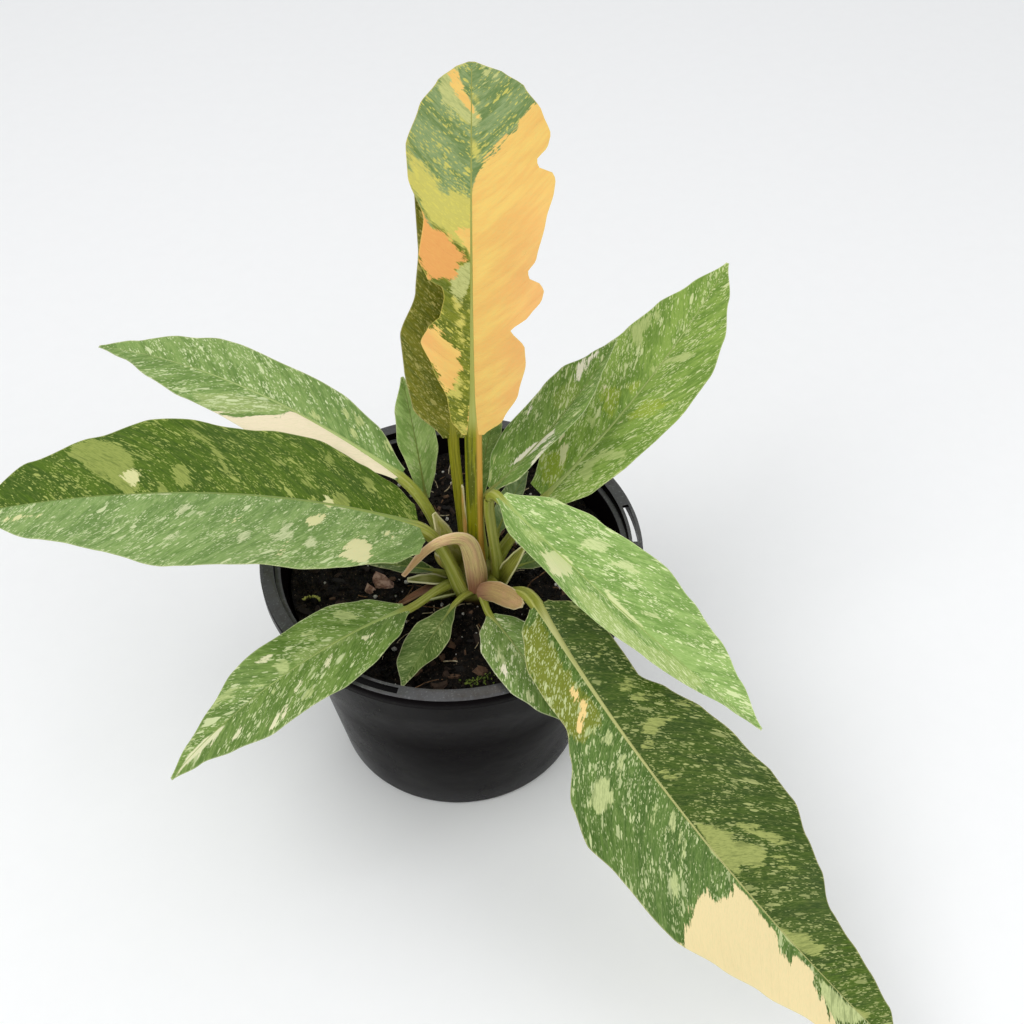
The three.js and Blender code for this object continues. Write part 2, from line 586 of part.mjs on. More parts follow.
const stalkSockets = LEAVES.map((leaf) => solidOf(tube(stalkPoints(leaf), leaf.stalk + SOCKET_GAP)));
const sheathSockets = SHEATHS.map((item) => sheath(item, SOCKET_GAP));

addPart('pot', pot(), 'pot', 0.25);
addPart('soil', soil(), 'soil', 0.95);
addPart('crown', crown([...stalkSockets, ...sheathSockets]), 'crown', 0.5);
for (const leaf of LEAVES) addPart(leaf.name, leafSolid(leaf), leaf.colour, 0.4);
for (const item of SHEATHS) {
  const clear = stalkSockets.reduce((left, socket) => left.subtract(socket), sheath(item, 0));
  addPart(item.name, largestPiece(clear), item.colour, 0.5);
}

export default group;
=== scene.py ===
"""Dresses a packed, variegated philodendron in its nursery pot: leaves, sheaths, crown, soil and pot."""

import math
from dataclasses import dataclass, field
from random import Random
from types import SimpleNamespace

import bmesh
import bpy
from bpy.props import FloatProperty, FloatVectorProperty, IntProperty, PointerProperty
from mathutils import Matrix, Vector, noise


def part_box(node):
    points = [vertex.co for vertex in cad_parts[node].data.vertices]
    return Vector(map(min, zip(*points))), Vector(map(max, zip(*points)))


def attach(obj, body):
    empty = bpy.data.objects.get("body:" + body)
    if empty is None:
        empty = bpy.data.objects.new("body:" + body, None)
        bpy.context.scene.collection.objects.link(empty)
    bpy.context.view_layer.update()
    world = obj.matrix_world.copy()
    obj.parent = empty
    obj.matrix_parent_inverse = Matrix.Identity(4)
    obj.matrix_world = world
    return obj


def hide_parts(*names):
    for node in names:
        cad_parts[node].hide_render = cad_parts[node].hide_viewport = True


bl_info = {
    "name": "Potted Philodendron",
    "version": (1, 0, 0),
    "blender": (4, 5, 0),
    "location": "3D View > Sidebar > Plant",
    "description": "Builds a variegated philodendron in a glossy nursery pot over its CAD frame",
    "category": "Object",
}

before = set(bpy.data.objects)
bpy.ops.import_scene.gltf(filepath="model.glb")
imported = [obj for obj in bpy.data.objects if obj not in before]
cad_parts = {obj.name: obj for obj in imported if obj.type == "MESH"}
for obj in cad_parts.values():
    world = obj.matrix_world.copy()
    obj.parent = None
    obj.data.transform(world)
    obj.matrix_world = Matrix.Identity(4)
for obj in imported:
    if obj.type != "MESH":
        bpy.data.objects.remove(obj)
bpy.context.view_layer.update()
POT_LOW, POT_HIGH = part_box("pot")
BODY = "root"
MM = 0.001
UP = Vector((0, 0, 1))


def rgb(red, green, blue):
    """A screen colour, 0 to 255 a channel, as the linear colour that a shader reads."""
    channels = [c / 255 for c in (red, green, blue)]
    linear = [c / 12.92 if c <= 0.04045 else ((c + 0.055) / 1.055) ** 2.4 for c in channels]
    return (*linear, 1.0)


# Measures of the plant, in millimetres and degrees

CROWN_AXIS = (8, -10)
CROWN_RADIUS = 10.5
CROWN_PROFILE = [(0, 66), (0.55, 68), (0.85, 78), (0.95, 91), (1, 95), (0.96, 98), (0.78, 102), (0.45, 104),
                 (0, 104)]
SOIL_LEVEL = 94
SOIL_FOOT = 4.5
SOIL_RELIEF = 1.1
SOIL_HOLE_RADIUS = 11
SOIL_HOLE_FOOT = 65.7
# A share of a blade's length that no place on it reaches.
BEYOND_TIP = 10


@dataclass
class Skin:
    """The colours of one blade, its stalk and its rib, and where its markings lie."""

    green: tuple = rgb(104, 130, 52)
    # The two halves' colours and the tip's green carry painted sheen on some leaves: one half or the tip
    # lighter and bluer, as if it reflected the sky.
    green_right: tuple = None
    green_tip: tuple = None
    tip_from: float = 0.75
    speck: tuple = rgb(205, 210, 150)
    speck_right: tuple = None
    lime: tuple = rgb(150, 162, 60)
    lime_cover: float = 0.4
    pale: tuple = rgb(190, 200, 130)
    pale_right: tuple = None
    cream: tuple = rgb(243, 232, 196)
    cream_rim: tuple = rgb(243, 232, 196)
    warm: tuple = rgb(240, 186, 112)
    rib: tuple = rgb(150, 166, 88)
    stalk: tuple = rgb(146, 152, 58)
    stripe: tuple = rgb(172, 174, 92)
    margin: tuple = rgb(150, 150, 70)
    margin_share: float = 0.0
    specks: float = 0.5
    mottle: float = 0.8
    sheen: float = 0.42
    blush: float = 0.0
    slant: float = 1.0

    def __post_init__(self):
        """The right half and the tip take the left half's colours where they have none of their own."""
        self.green_right = self.green_right or self.green
        self.speck_right = self.speck_right or self.speck
        self.pale_right = self.pale_right or self.pale
        if not self.green_tip:
            self.green_tip = self.green
            self.tip_from = BEYOND_TIP


@dataclass
class Leaf:
    """One leaf: where it stands, how its midrib runs, its half widths and its skin."""

    foot: tuple
    neck: tuple
    stalk: float
    azimuth: float
    rise: tuple
    length: float
    left: list
    right: list
    sweep: float = 0
    roll: float = 0
    fold: float = 10
    lean: float = 0.5
    wave: float = 1
    waves: int = 3
    slot: str = "blade_dark"
    skin: Skin = field(default_factory=Skin)


LEAVES = {
    "leaf_fire": Leaf(
        foot=(9, -11, 104), neck=(10, -3, 168), stalk=3.2, azimuth=83, rise=(76, 60), length=127.5,
        roll=-4, fold=10, wave=1.2, waves=3, slot="blade_fire",
        left=[(0, 4), (0.05, 8), (0.12, 9), (0.215, 14), (0.288, 18), (0.329, 15), (0.355, 11), (0.41, 9.5),
              (0.437, 10), (0.462, 15), (0.514, 18), (0.617, 16), (0.72, 21), (0.8, 21.5), (0.894, 17),
              (0.955, 11), (0.985, 6), (1, 1)],
        right=[(0, 4), (0.05, 11), (0.134, 16.5), (0.226, 19), (0.277, 18.5), (0.319, 13.5), (0.36, 20),
               (0.405, 24.3), (0.432, 25), (0.45, 23.4), (0.46, 20), (0.48, 19.2), (0.514, 22),
               (0.617, 25), (0.69, 27.6), (0.72, 28), (0.737, 26.8), (0.748, 22.4), (0.765, 21.5),
               (0.8, 25.2), (0.83, 26), (0.884, 23), (0.945, 17), (0.975, 10.5), (1, 1)],
        skin=Skin(
            # green_tip is painted sheen: the outer part of the blade lighter and greyer, as if it reflected
            # the sky.
            green=rgb(120, 126, 26), green_tip=rgb(134, 154, 102), tip_from=0.62,
            speck=rgb(210, 200, 96), lime=rgb(203, 193, 97), lime_cover=0.9, pale=rgb(190, 192, 122),
            cream=rgb(238, 200, 108), cream_rim=rgb(246, 188, 116), warm=rgb(226, 160, 88),
            rib=rgb(168, 172, 92), stalk=rgb(132, 132, 16), stripe=rgb(84, 90, 6),
            margin=rgb(206, 158, 70), margin_share=0.9, specks=0.8, blush=0.45, slant=0.6,
        ),
    ),
    "leaf_rear_upright": Leaf(
        foot=(5.5, -2, 101), neck=(3, 9, 156), stalk=2.1, azimuth=90, rise=(79, 68), length=118,
        wave=0.8, left=[4, 14.5, 16.5, 17, 10.5, 8.5, 8.5, 8.5, 1], right=[4, 13, 16, 16, 12, 10, 10, 8, 1],
        skin=Skin(
            green=rgb(128, 126, 28), speck=rgb(196, 186, 106), stalk=rgb(150, 146, 36),
            stripe=rgb(120, 120, 20), rib=rgb(150, 150, 60), specks=0.95,
        ),
    ),
    "leaf_upper_left": Leaf(
        foot=(0, -5.5, 101), neck=(-18, 7.4, 139.4), stalk=2.2, azimuth=146.4, rise=(21, -14.5),
        length=149, sweep=2, roll=14, wave=1.2, slot="blade_light",
        left=[3, 8.5, 14, 18, 17, 15, 11.5, 5, 0.6], right=[3, 11.5, 14.8, 16, 15.5, 15, 12, 5, 0.6],
        skin=Skin(
            green=rgb(132, 160, 86), speck=rgb(216, 226, 174), lime=rgb(190, 202, 130),
            cream=rgb(244, 228, 196), cream_rim=rgb(245, 230, 200), warm=rgb(236, 214, 176),
            rib=rgb(178, 198, 126), specks=0.85, slant=1.3,
        ),
    ),
    "leaf_left": Leaf(
        foot=(2.5, -17.5, 101), neck=(-12, -12, 132), stalk=2.6, azimuth=190, rise=(36, 0), length=158,
        sweep=2, fold=6, wave=1.6, slot="blade_light",
        left=[(0, 10), (0.04, 20), (0.125, 29.5), (0.25, 35), (0.375, 37.8), (0.5, 40), (0.625, 37),
              (0.75, 29), (0.875, 18.8), (1, 1)],
        right=[(0, 10), (0.06, 18.5), (0.125, 23.8), (0.25, 30.5), (0.375, 33.2), (0.5, 33.8),
               (0.625, 33), (0.75, 27.5), (0.875, 18), (1, 1)],
        skin=Skin(
            # The left half's greens, flecks and pales are lighter and bluer than the right half's: painted
            # sheen of the sky on that half.
            green=rgb(136, 164, 92), green_right=rgb(78, 106, 14), speck=rgb(210, 220, 168),
            speck_right=rgb(172, 182, 96), pale=rgb(200, 208, 158), pale_right=rgb(150, 162, 80),
            cream=rgb(216, 216, 156), cream_rim=rgb(220, 218, 164), rib=rgb(138, 160, 88), specks=0.85,
            slant=0.65,
        ),
    ),
    "leaf_lower_left": Leaf(
        foot=(-0.5, -14.5, 99.5), neck=(-19, -31, 106), stalk=1.7, azimuth=219, rise=(22, -45),
        length=111, sweep=-14, roll=7, fold=8, wave=1.2,
        left=[2.5, 12, 17, 19, 18.5, 17, 12.5, 6, 0.6],
        right=[2.5, 10.5, 13.5, 14.5, 14, 12.5, 8.5, 4, 0.6],
        skin=Skin(
            green=rgb(118, 146, 68), speck=rgb(214, 222, 168), lime=rgb(170, 186, 112),
            pale=rgb(190, 202, 134), cream=rgb(226, 226, 184), rib=rgb(166, 186, 108), specks=0.95, slant=1.3,
        ),
    ),
    "leaf_front_small": Leaf(
        foot=(6, -20, 99.5), neck=(-1, -28, 102.5), stalk=1.1, azimuth=239, rise=(4, -14), length=40,
        fold=12, wave=0.4, waves=2, left=[1.4, 4.5, 7.5, 7, 3, 0.6], right=[1.4, 4.5, 7.5, 8, 6.5, 0.6],
        skin=Skin(
            green=rgb(96, 118, 56), speck=rgb(166, 176, 116), specks=0.75, rib=rgb(130, 146, 84),
        ),
    ),
    "leaf_front_right_small": Leaf(
        foot=(10, -20, 99.5), neck=(13, -36, 105), stalk=1.4, azimuth=-68, rise=(18, -20), length=56,
        sweep=6, fold=5, wave=0.5, waves=2,
        left=[2, 7.5, 11.5, 12, 11, 7.5, 0.6], right=[2, 9, 13, 13, 12, 8, 0.6],
        skin=Skin(
            green=rgb(126, 152, 80), speck=rgb(226, 230, 186), cream=rgb(240, 234, 210),
            pale=rgb(200, 206, 152), rib=rgb(150, 164, 98), specks=0.9, slant=1.3,
        ),
    ),
    "leaf_great": Leaf(
        foot=(14, -16.5, 100), neck=(30, -48, 123.5), stalk=2.6, azimuth=-62, rise=(-22, -27),
        length=193.8, sweep=21, lean=-0.5, roll=-8, fold=9, wave=2.4, waves=4,
        left=[(0, 4), (0.03, 12), (0.08, 16), (0.21, 17), (0.26, 23), (0.33, 28), (0.42, 32), (0.5, 35),
              (0.57, 33), (0.63, 28), (0.7, 25), (0.76, 18), (0.82, 15), (0.88, 12.5), (0.95, 9), (1, 1)],
        right=[(0, 4), (0.03, 11), (0.1, 17), (0.16, 17.5), (0.22, 17), (0.27, 22), (0.33, 31),
               (0.4, 36), (0.46, 34), (0.52, 33), (0.6, 32), (0.68, 27), (0.76, 21), (0.85, 15),
               (0.93, 11), (1, 1)],
        skin=Skin(
            # The right half's greens, flecks and pales are lighter than the left half's: painted sheen of the
            # sky on that half.
            green=rgb(62, 86, 16), green_right=rgb(92, 122, 50), green_tip=rgb(72, 98, 14),
            tip_from=0.82, speck=rgb(172, 178, 112), speck_right=rgb(208, 216, 160),
            lime=rgb(132, 136, 40), lime_cover=0.7, pale=rgb(160, 168, 94), pale_right=rgb(192, 202, 138),
            cream=rgb(236, 216, 164), cream_rim=rgb(244, 226, 184), warm=rgb(248, 214, 140),
            rib=rgb(190, 190, 124), stalk=rgb(144, 148, 56), stripe=rgb(176, 176, 94), specks=0.86,
            slant=0.6,
        ),
    ),
    "leaf_right": Leaf(
        foot=(17.3, -12.7, 101.5), neck=(19, -14, 146), stalk=2, azimuth=-50.8, rise=(-14, -28),
        length=126, sweep=17, roll=5, fold=24, wave=0.8, slot="blade_light",
        left=[3, 14.2, 19.3, 22.2, 22.9, 20.5, 15.8, 9, 0.6], right=[3, 14, 16, 17.8, 18, 15, 9.8, 4, 0.6],
        skin=Skin(
            # The pale green all over is partly painted sheen: the whole blade lighter, as if it reflected the
            # sky.
            green=rgb(154, 185, 103), speck=rgb(232, 240, 184), lime=rgb(192, 208, 128),
            lime_cover=0.5, pale=rgb(206, 217, 154), cream=rgb(216, 224, 164), rib=rgb(172, 196, 116),
            specks=1.0, slant=2.0,
        ),
    ),
    "leaf_upper_right": Leaf(
        foot=(16.4, -6, 100), neck=(37, 5, 125), stalk=2.2, azimuth=28, rise=(32, 28), length=119,
        sweep=23, roll=-5, wave=1, slot="blade_light",
        left=[8, 15, 19, 21, 23, 20, 15.5, 8.5, 0.6], right=[8, 15.5, 19, 20.5, 22, 21.5, 16.5, 9, 0.6],
        skin=Skin(
            green=rgb(140, 169, 74), speck=rgb(216, 224, 162), lime=rgb(166, 182, 58),
            lime_cover=0.55, pale=rgb(182, 196, 122), cream=rgb(216, 218, 164), rib=rgb(176, 194, 118),
            specks=0.95, slant=1.5,
        ),
    ),
    "leaf_upper_right_rear": Leaf(
        foot=(12, -4.4, 102.5), neck=(16, -2, 138), stalk=1.7, azimuth=28, rise=(28, 46), length=74,
        sweep=8, roll=16, fold=16, wave=0.8, waves=2,
        left=[3, 13, 16, 17, 16, 13, 7, 0.6], right=[3, 10.5, 11, 12.5, 13, 11, 6, 0.6],
        skin=Skin(
            green=rgb(124, 156, 66), speck=rgb(214, 222, 164), lime=rgb(146, 166, 66),
            cream=rgb(242, 238, 214), cream_rim=rgb(246, 244, 224), rib=rgb(142, 162, 88), specks=0.85,
            slant=1.4,
        ),
    ),
    "leaf_back_left": Leaf(
        foot=(1.5, -2.5, 99.5), neck=(-9, 11, 122), stalk=1.2, azimuth=132, rise=(85, 78), length=58,
        sweep=-5, roll=4, wave=0.4, waves=2,
        left=[1.6, 5, 6.5, 9, 7, 0.6], right=[1.6, 6, 8.5, 8.5, 6, 0.6],
        # The green is raised to make up for the shade that falls on this rear leaf: partly painted light.
        skin=Skin(green=rgb(180, 208, 124), speck=rgb(206, 218, 156), specks=0.8, slant=1.6),
    ),
    "leaf_back": Leaf(
        foot=(10, -0.8, 99.5), neck=(10.5, 9, 116), stalk=1.2, azimuth=65, rise=(70, 52), length=46,
        sweep=-8, fold=12, wave=0.4, waves=2,
        left=[1.4, 3, 5, 6.5, 4.5, 0.6], right=[1.4, 3, 5, 6.5, 5, 0.6],
        skin=Skin(green=rgb(120, 146, 70), speck=rgb(180, 194, 128), specks=0.7),
    ),
    "leaf_right_rear_small": Leaf(
        foot=(14.2, -1.4, 98.8), neck=(18.5, 4, 108), stalk=1.1, azimuth=42, rise=(62, 40), length=28,
        fold=12, wave=0.3, waves=2, left=[1.4, 5, 5.5, 4, 0.6], right=[1.4, 5, 5.5, 4, 0.6],
        skin=Skin(green=rgb(134, 156, 106), speck=rgb(180, 192, 142), specks=0.6),
    ),
    "leaf_right_low_small": Leaf(
        foot=(18.6, -9.6, 98.8), neck=(24.5, -9, 101), stalk=1.1, azimuth=8, rise=(14, 2), length=26,
        fold=12, wave=0.3, waves=2, left=[1.4, 4.5, 5, 3.5, 0.6], right=[1.4, 4.5, 5, 3.5, 0.6],
        skin=Skin(green=rgb(104, 126, 62), specks=0.5),
    ),
    "leaf_left_low_small": Leaf(
        foot=(-1.5, -10, 99), neck=(-8, -9, 102), stalk=1.1, azimuth=176, rise=(18, 2), length=26,
        fold=12, wave=0.3, waves=2, left=[1.4, 4, 4.5, 3, 0.6], right=[1.4, 4, 4.5, 3, 0.6],
        skin=Skin(green=rgb(96, 118, 56), specks=0.5),
    ),
}

# Outlines of the larger patches on each blade, as (distance along, distance across) pairs in millimetres.
# The points were traced by eye from the photograph and converted by another script.
PATCHES = {
    "leaf_fire": {
        "lime": [
            [(103, -21), (102, -21), (98, -18), (95, -15), (92, -12), (89, -11), (86, -8), (88, -7),
             (86, -3), (84, 2), (73, 2), (64, 2), (65, 0), (69, -2), (68, -3), (70, -5), (74, -9),
             (77, -14), (81, -16), (91, -21)],
            [(118, 0), (117, 2), (115, 2), (117, 0)],
            [(104, 0), (103, 2), (97, 3), (97, 2), (100, 0)],
            [(24, -6), (21, -4), (17, -4), (13, -5), (16, -7), (17, -9)],
            [(44, -5), (45, -3), (43, -2), (41, -5)],
            [(40, -4), (38, -3), (36, -3), (38, -4)],
            [(5, -7), (4, -2), (0, -2), (3, -6)],
            [(52, -6), (49, -4), (48, -5), (50, -6)],
        ],
        "pale": [
            [(128, -4), (126, -8), (122, -10), (119, -10), (115, -9), (112, -6), (110, -3), (108, 0),
             (107, 3), (111, 3), (115, 0), (118, -2), (123, -4)],
            [(128, 0), (128, 5), (127, 7), (124, 6), (122, 5), (121, 4), (120, 3), (123, 4), (125, 4),
             (127, 2)],
            [(124, 7), (124, 8), (123, 9), (122, 8)],
            [(63, -5), (64, 0), (59, 0), (50, -3), (51, -4), (56, -7), (58, -7)],
        ],
        "cream": [
            [(97, 4), (100, 7), (103, 10), (106, 14), (110, 16), (115, 20), (115, 24), (105, 29), (92, 31),
             (79, 27), (66, 25), (70, 26), (56, 29), (51, 28), (35, 22), (28, 21), (16, 20), (6, 13),
             (2, 7), (-2, 2), (-2, 0), (42, 0), (77, 0), (86, 0), (90, 1)],
            [(82, 2), (79, -1), (78, 0), (75, 1), (75, -5), (71, -3), (67, -1), (64, 2), (69, 2), (62, 1),
             (57, 2), (62, 2)],
            [(39, -20), (42, -16), (41, -12), (38, -10), (37, -9), (35, -7), (32, -5), (28, -5), (26, -4),
             (23, -6), (19, -6), (18, -9), (20, -11), (26, -13), (32, -17), (35, -19)],
            [(124, -7), (127, -7), (127, -5), (120, -3), (118, -2), (115, 0), (111, 2), (110, 3), (112, 0),
             (115, -3), (118, -6)],
            [(13, -1), (0, -1), (0, -2)],
        ],
        "warm": [
            [(81, -17), (77, -14), (74, -9), (70, -5), (67, -2), (64, -1), (66, 0), (64, -1), (63, -5),
             (59, -6), (58, -8), (59, -9), (59, -12), (58, -16), (61, -15), (67, -19), (68, -19)],
        ],
    },
    "leaf_upper_left": {
        "lime": [
            [(91, -12), (68, -3), (53, 0), (51, -1), (60, -9), (73, -16), (83, -16)],
        ],
        "pale": [
            [(43, 2), (40, 3), (37, 2), (40, 1)],
            [(34, 9), (32, 11), (29, 8), (30, 8)],
            [(29, 11), (24, 9), (24, 7)],
            [(13, 7), (12, 10), (8, 6), (9, 4)],
            [(26, 4), (24, 4), (21, 2)],
        ],
        "cream": [
            [(84, -17), (78, -18), (71, -16), (67, -14), (64, -13), (60, -9), (57, -8), (52, -5), (51, -1),
             (47, 0), (37, 0), (30, 0), (23, 0), (16, -1), (9, 0), (0, 0), (0, -3), (0, -4), (12, -9),
             (32, -15), (53, -19), (66, -22), (76, -21)],
        ],
    },
    "leaf_left": {
        "pale": [
            [(126, 20), (124, 25), (119, 27), (113, 26), (108, 21), (105, 17), (105, 12), (103, 7),
             (104, 3), (107, -1), (111, 4), (116, 9), (119, 14), (122, 17)],
            [(78, 23), (75, 19), (73, 10), (74, 10), (76, 15)],
            [(92, 12), (88, 12), (86, 4), (89, 2), (92, 7)],
            [(98, -1), (97, 4), (93, -1)],
            [(88, 30), (84, 29), (78, 24), (80, 24), (85, 27)],
            [(92, -8), (87, -6), (88, -9), (92, -13)],
            [(86, -11), (84, -11), (84, -14)],
            [(97, -24), (93, -20), (93, -23), (96, -25)],
            [(74, -23), (70, -20), (72, -27), (74, -27)],
            [(103, 18), (99, 16), (99, 14)],
            [(47, 15), (45, 13), (43, 9), (43, 4), (45, 7)],
            [(36, 23), (34, 26), (33, 21), (35, 18)],
            [(76, 20), (74, 17), (73, 8), (75, 10)],
            [(21, 16), (19, 18), (17, 15), (20, 10), (21, 13)],
            [(45, 0), (43, 3), (41, -1)],
            [(38, 3), (36, 2), (33, 6), (30, 5), (29, 0), (33, -2)],
            [(64, -22), (59, -20), (57, -14), (54, -14), (55, -21), (59, -24), (63, -23)],
            [(51, -24), (47, -19), (45, -20), (48, -25), (51, -26)],
            [(74, -24), (71, -20), (70, -23), (74, -27)],
            [(76, -18), (72, -13), (74, -18)],
        ],
        "cream": [
            [(109, 10), (105, 11), (103, 6), (106, 3), (108, 6)],
            [(150, -6), (143, -5), (136, -7), (143, -7), (148, -7)],
            [(76, -17), (72, -13), (74, -18)],
            [(40, 0), (38, 3), (35, 2), (36, -1), (38, -2)],
            [(48, -11), (44, -8), (40, -6), (43, -12), (48, -14)],
            [(40, -29), (34, -21), (28, -17), (26, -22), (28, -29), (31, -32), (36, -31)],
            [(62, -32), (57, -24), (61, -32)],
            [(18, -11), (14, -9), (16, -14)],
            [(60, -35), (57, -32), (59, -35)],
            [(102, 12), (99, 10), (101, 10)],
        ],
    },
    "leaf_lower_left": {
        "lime": [
            [(49, 6), (36, 2), (26, -1), (26, -3), (37, -1), (49, 1)],
        ],
        "pale": [
            [(26, 10), (21, 7), (20, 5), (25, 5), (27, 7)],
            [(56, 6), (52, 5), (51, 2), (53, 0), (56, 1), (56, 3)],
            [(41, 10), (36, 6), (38, 5), (41, 8)],
            [(81, 9), (78, 10), (71, 7), (62, 1), (70, 5), (76, 7), (82, 8)],
            [(55, -14), (50, -12), (50, -14), (53, -16)],
            [(64, -3), (60, -2), (62, -4)],
            [(99, 3), (94, 4), (99, 2)],
        ],
        "cream": [
            [(25, -3), (20, -5), (24, -6), (25, -4)],
            [(60, 11), (55, 9), (57, 8)],
            [(110, -1), (100, 1), (92, 1), (80, -1), (86, -2), (94, -2), (103, -1), (110, -1)],
            [(70, -14), (62, -12), (60, -11), (63, -14), (68, -15)],
            [(56, -8), (51, -5), (52, -7), (55, -9)],
            [(82, -8), (75, -7), (80, -8)],
            [(42, -7), (38, -4), (41, -8)],
        ],
    },
    "leaf_front_right_small": {
        "pale": [
            [(19, 8), (18, 6), (27, 7), (26, 9)],
            [(39, 8), (41, 6), (47, 6), (44, 7)],
            [(22, 2), (25, 0), (25, 2)],
            [(7, -1), (11, -5), (10, -3)],
        ],
        "cream": [
            [(27, 11), (27, 8), (29, 8), (33, 9), (31, 10)],
        ],
    },
    "leaf_great": {
        "lime": [
            [(6, 11), (4, 2), (20, 4), (32, 4), (44, 2), (48, 5), (49, 15), (46, 17), (37, 21), (28, 17),
             (19, 17), (12, 14)],
        ],
        "pale": [
            [(94, -1), (99, -6), (103, -9), (106, -8), (109, -9), (113, -13), (117, -14), (120, -10),
             (119, -7), (115, -4), (118, -2), (116, -1), (110, 0), (105, 1), (100, -1), (97, -1)],
            [(103, -13), (108, -17), (113, -19), (120, -22), (117, -19), (110, -15), (104, -12)],
            [(120, -15), (123, -17), (127, -18), (130, -18), (125, -16), (121, -15)],
            [(138, 0), (144, -3), (147, -5), (154, -8), (154, -6), (155, -4), (151, -1), (144, 1)],
            [(158, 2), (164, 1), (172, 1), (181, -3), (178, 4), (171, 9), (164, 6)],
            [(102, 20), (101, 18), (102, 16), (106, 20), (108, 23)],
            [(83, 12), (81, 5), (82, 6), (85, 12)],
            [(90, 9), (86, 2), (87, 2), (91, 9)],
            [(94, 7), (91, 2), (99, 10)],
            [(52, 8), (51, 4), (53, 2), (54, 4), (55, 6), (53, 8)],
            [(40, -9), (40, -12), (44, -14), (44, -11), (42, -8)],
            [(45, -11), (47, -13), (51, -18), (48, -13), (47, -10)],
            [(56, -7), (57, -14), (61, -18), (60, -13), (62, -9), (60, -7)],
            [(61, -4), (63, -7), (64, -7), (63, -2)],
            [(56, -21), (57, -24), (61, -26), (61, -24)],
            [(32, -15), (35, -21), (36, -20), (33, -15)],
            [(26, -8), (27, -11), (28, -9)],
            [(68, 26), (65, 23), (62, 18), (64, 14), (70, 18), (72, 22), (71, 25)],
            [(64, 11), (61, 7), (62, 4), (63, 7), (65, 11)],
            [(72, -2), (74, -5), (74, -3)],
            [(75, -2), (78, -8), (78, -6), (77, -3)],
            [(83, 12), (80, 6), (82, 6), (84, 11)],
            [(91, 10), (86, 3), (87, 2), (91, 8)],
            [(47, 10), (47, 5), (48, 8), (48, 11)],
        ],
        "cream": [
            [(117, 2), (123, 1), (127, 1), (132, 2), (137, 2), (141, 3), (145, 6), (148, 6), (149, 2),
             (154, 2), (158, 2), (160, 5), (166, 7), (172, 10), (182, 11), (171, 17), (157, 22), (146, 26),
             (136, 28), (127, 31), (119, 32), (117, 28), (115, 23), (113, 20), (113, 16), (112, 12),
             (117, 12), (119, 7), (119, 4)],
        ],
        "warm": [
            [(32, 8), (32, 6), (36, 5), (38, 5), (40, 6), (45, 11), (46, 13), (44, 14), (40, 8), (36, 7),
             (33, 8)],
        ],
    },
    "leaf_right": {
        "lime": [
            [(16, 6), (18, -1), (23, -1), (24, 6), (19, 8)],
            [(44, 10), (50, 4), (60, 7), (74, 8), (85, 1), (99, 0), (98, 8), (81, 16), (66, 19), (54, 17),
             (45, 15)],
        ],
        "pale": [
            [(34, -6), (34, -11), (36, -14), (42, -17), (42, -12), (37, -8)],
            [(47, -10), (51, -14), (59, -16), (55, -13)],
            [(67, -4), (72, -8), (72, -6), (68, -3)],
            [(13, -10), (15, -14), (18, -15), (15, -11)],
            [(58, -10), (60, -12), (60, -11)],
        ],
        "cream": [
            [(27, 9), (29, 0), (33, -1), (37, -1), (40, 7), (36, 15)],
            [(50, -2), (56, -2), (66, -1), (71, -1), (66, 1), (58, 1)],
            [(23, -7), (24, -8), (24, -6)],
            [(46, 6), (50, 6), (49, 8)],
        ],
    },
    "leaf_upper_right": {
        "lime": [
            [(11, -13), (20, -8), (14, -2), (4, 0), (4, -7)],
            [(49, -13), (52, -7), (41, -2), (41, -7)],
            [(45, 3), (54, 5), (60, 16), (52, 12), (44, 5)],
            [(55, -6), (59, -2), (53, -1)],
        ],
        "pale": [
            [(75, -19), (81, -18), (85, -15), (81, -14), (75, -13), (70, -10), (71, -15)],
            [(69, 0), (73, 1), (76, 3), (80, 10), (75, 7), (71, 2)],
            [(85, -13), (89, -13), (84, -11)],
            [(17, 4), (22, 3), (28, 5), (34, 13), (32, 15), (27, 9), (23, 7), (15, 10)],
            [(66, -2), (69, -1), (65, 0)],
            [(35, -9), (37, -7), (33, -5)],
        ],
        "cream": [
            [(17, -9), (21, -9), (17, -6), (14, -4)],
            [(22, -14), (26, -14), (23, -11), (19, -12)],
            [(41, 2), (44, 2), (42, 3)],
            [(49, -13), (50, -12), (45, -8)],
        ],
    },
    "leaf_upper_right_rear": {
        "lime": [
            [(43, -10), (52, -6), (52, -1), (44, 0), (38, -4)],
        ],
        "pale": [
            [(4, -7), (6, -7), (2, -3), (2, -5)],
            [(9, -11), (11, -11), (8, -8)],
        ],
        "cream": [
            [(56, -8), (62, -7), (70, -2), (65, -4), (60, -5), (54, -4), (52, -4)],
            [(30, -15), (36, -15), (32, -14)],
            [(34, 3), (29, 1), (22, -2), (11, -2), (15, -1), (24, 3), (32, 6)],
            [(17, 8), (27, 8), (31, 10), (24, 11), (18, 12)],
        ],
    },
}


@dataclass
class Sheath:
    """A cupped bract along a spine; its hollow side opens towards a direction."""

    spine: list
    opens: tuple
    wrap: float
    half: list
    slot: str = "sheath_green"
    main: tuple = rgb(160, 166, 84)
    foot: tuple = rgb(112, 118, 34)
    blush: tuple = rgb(206, 200, 140)
    blush_share: float = 0.3
    rim: tuple = rgb(222, 216, 176)
    tip: tuple = None


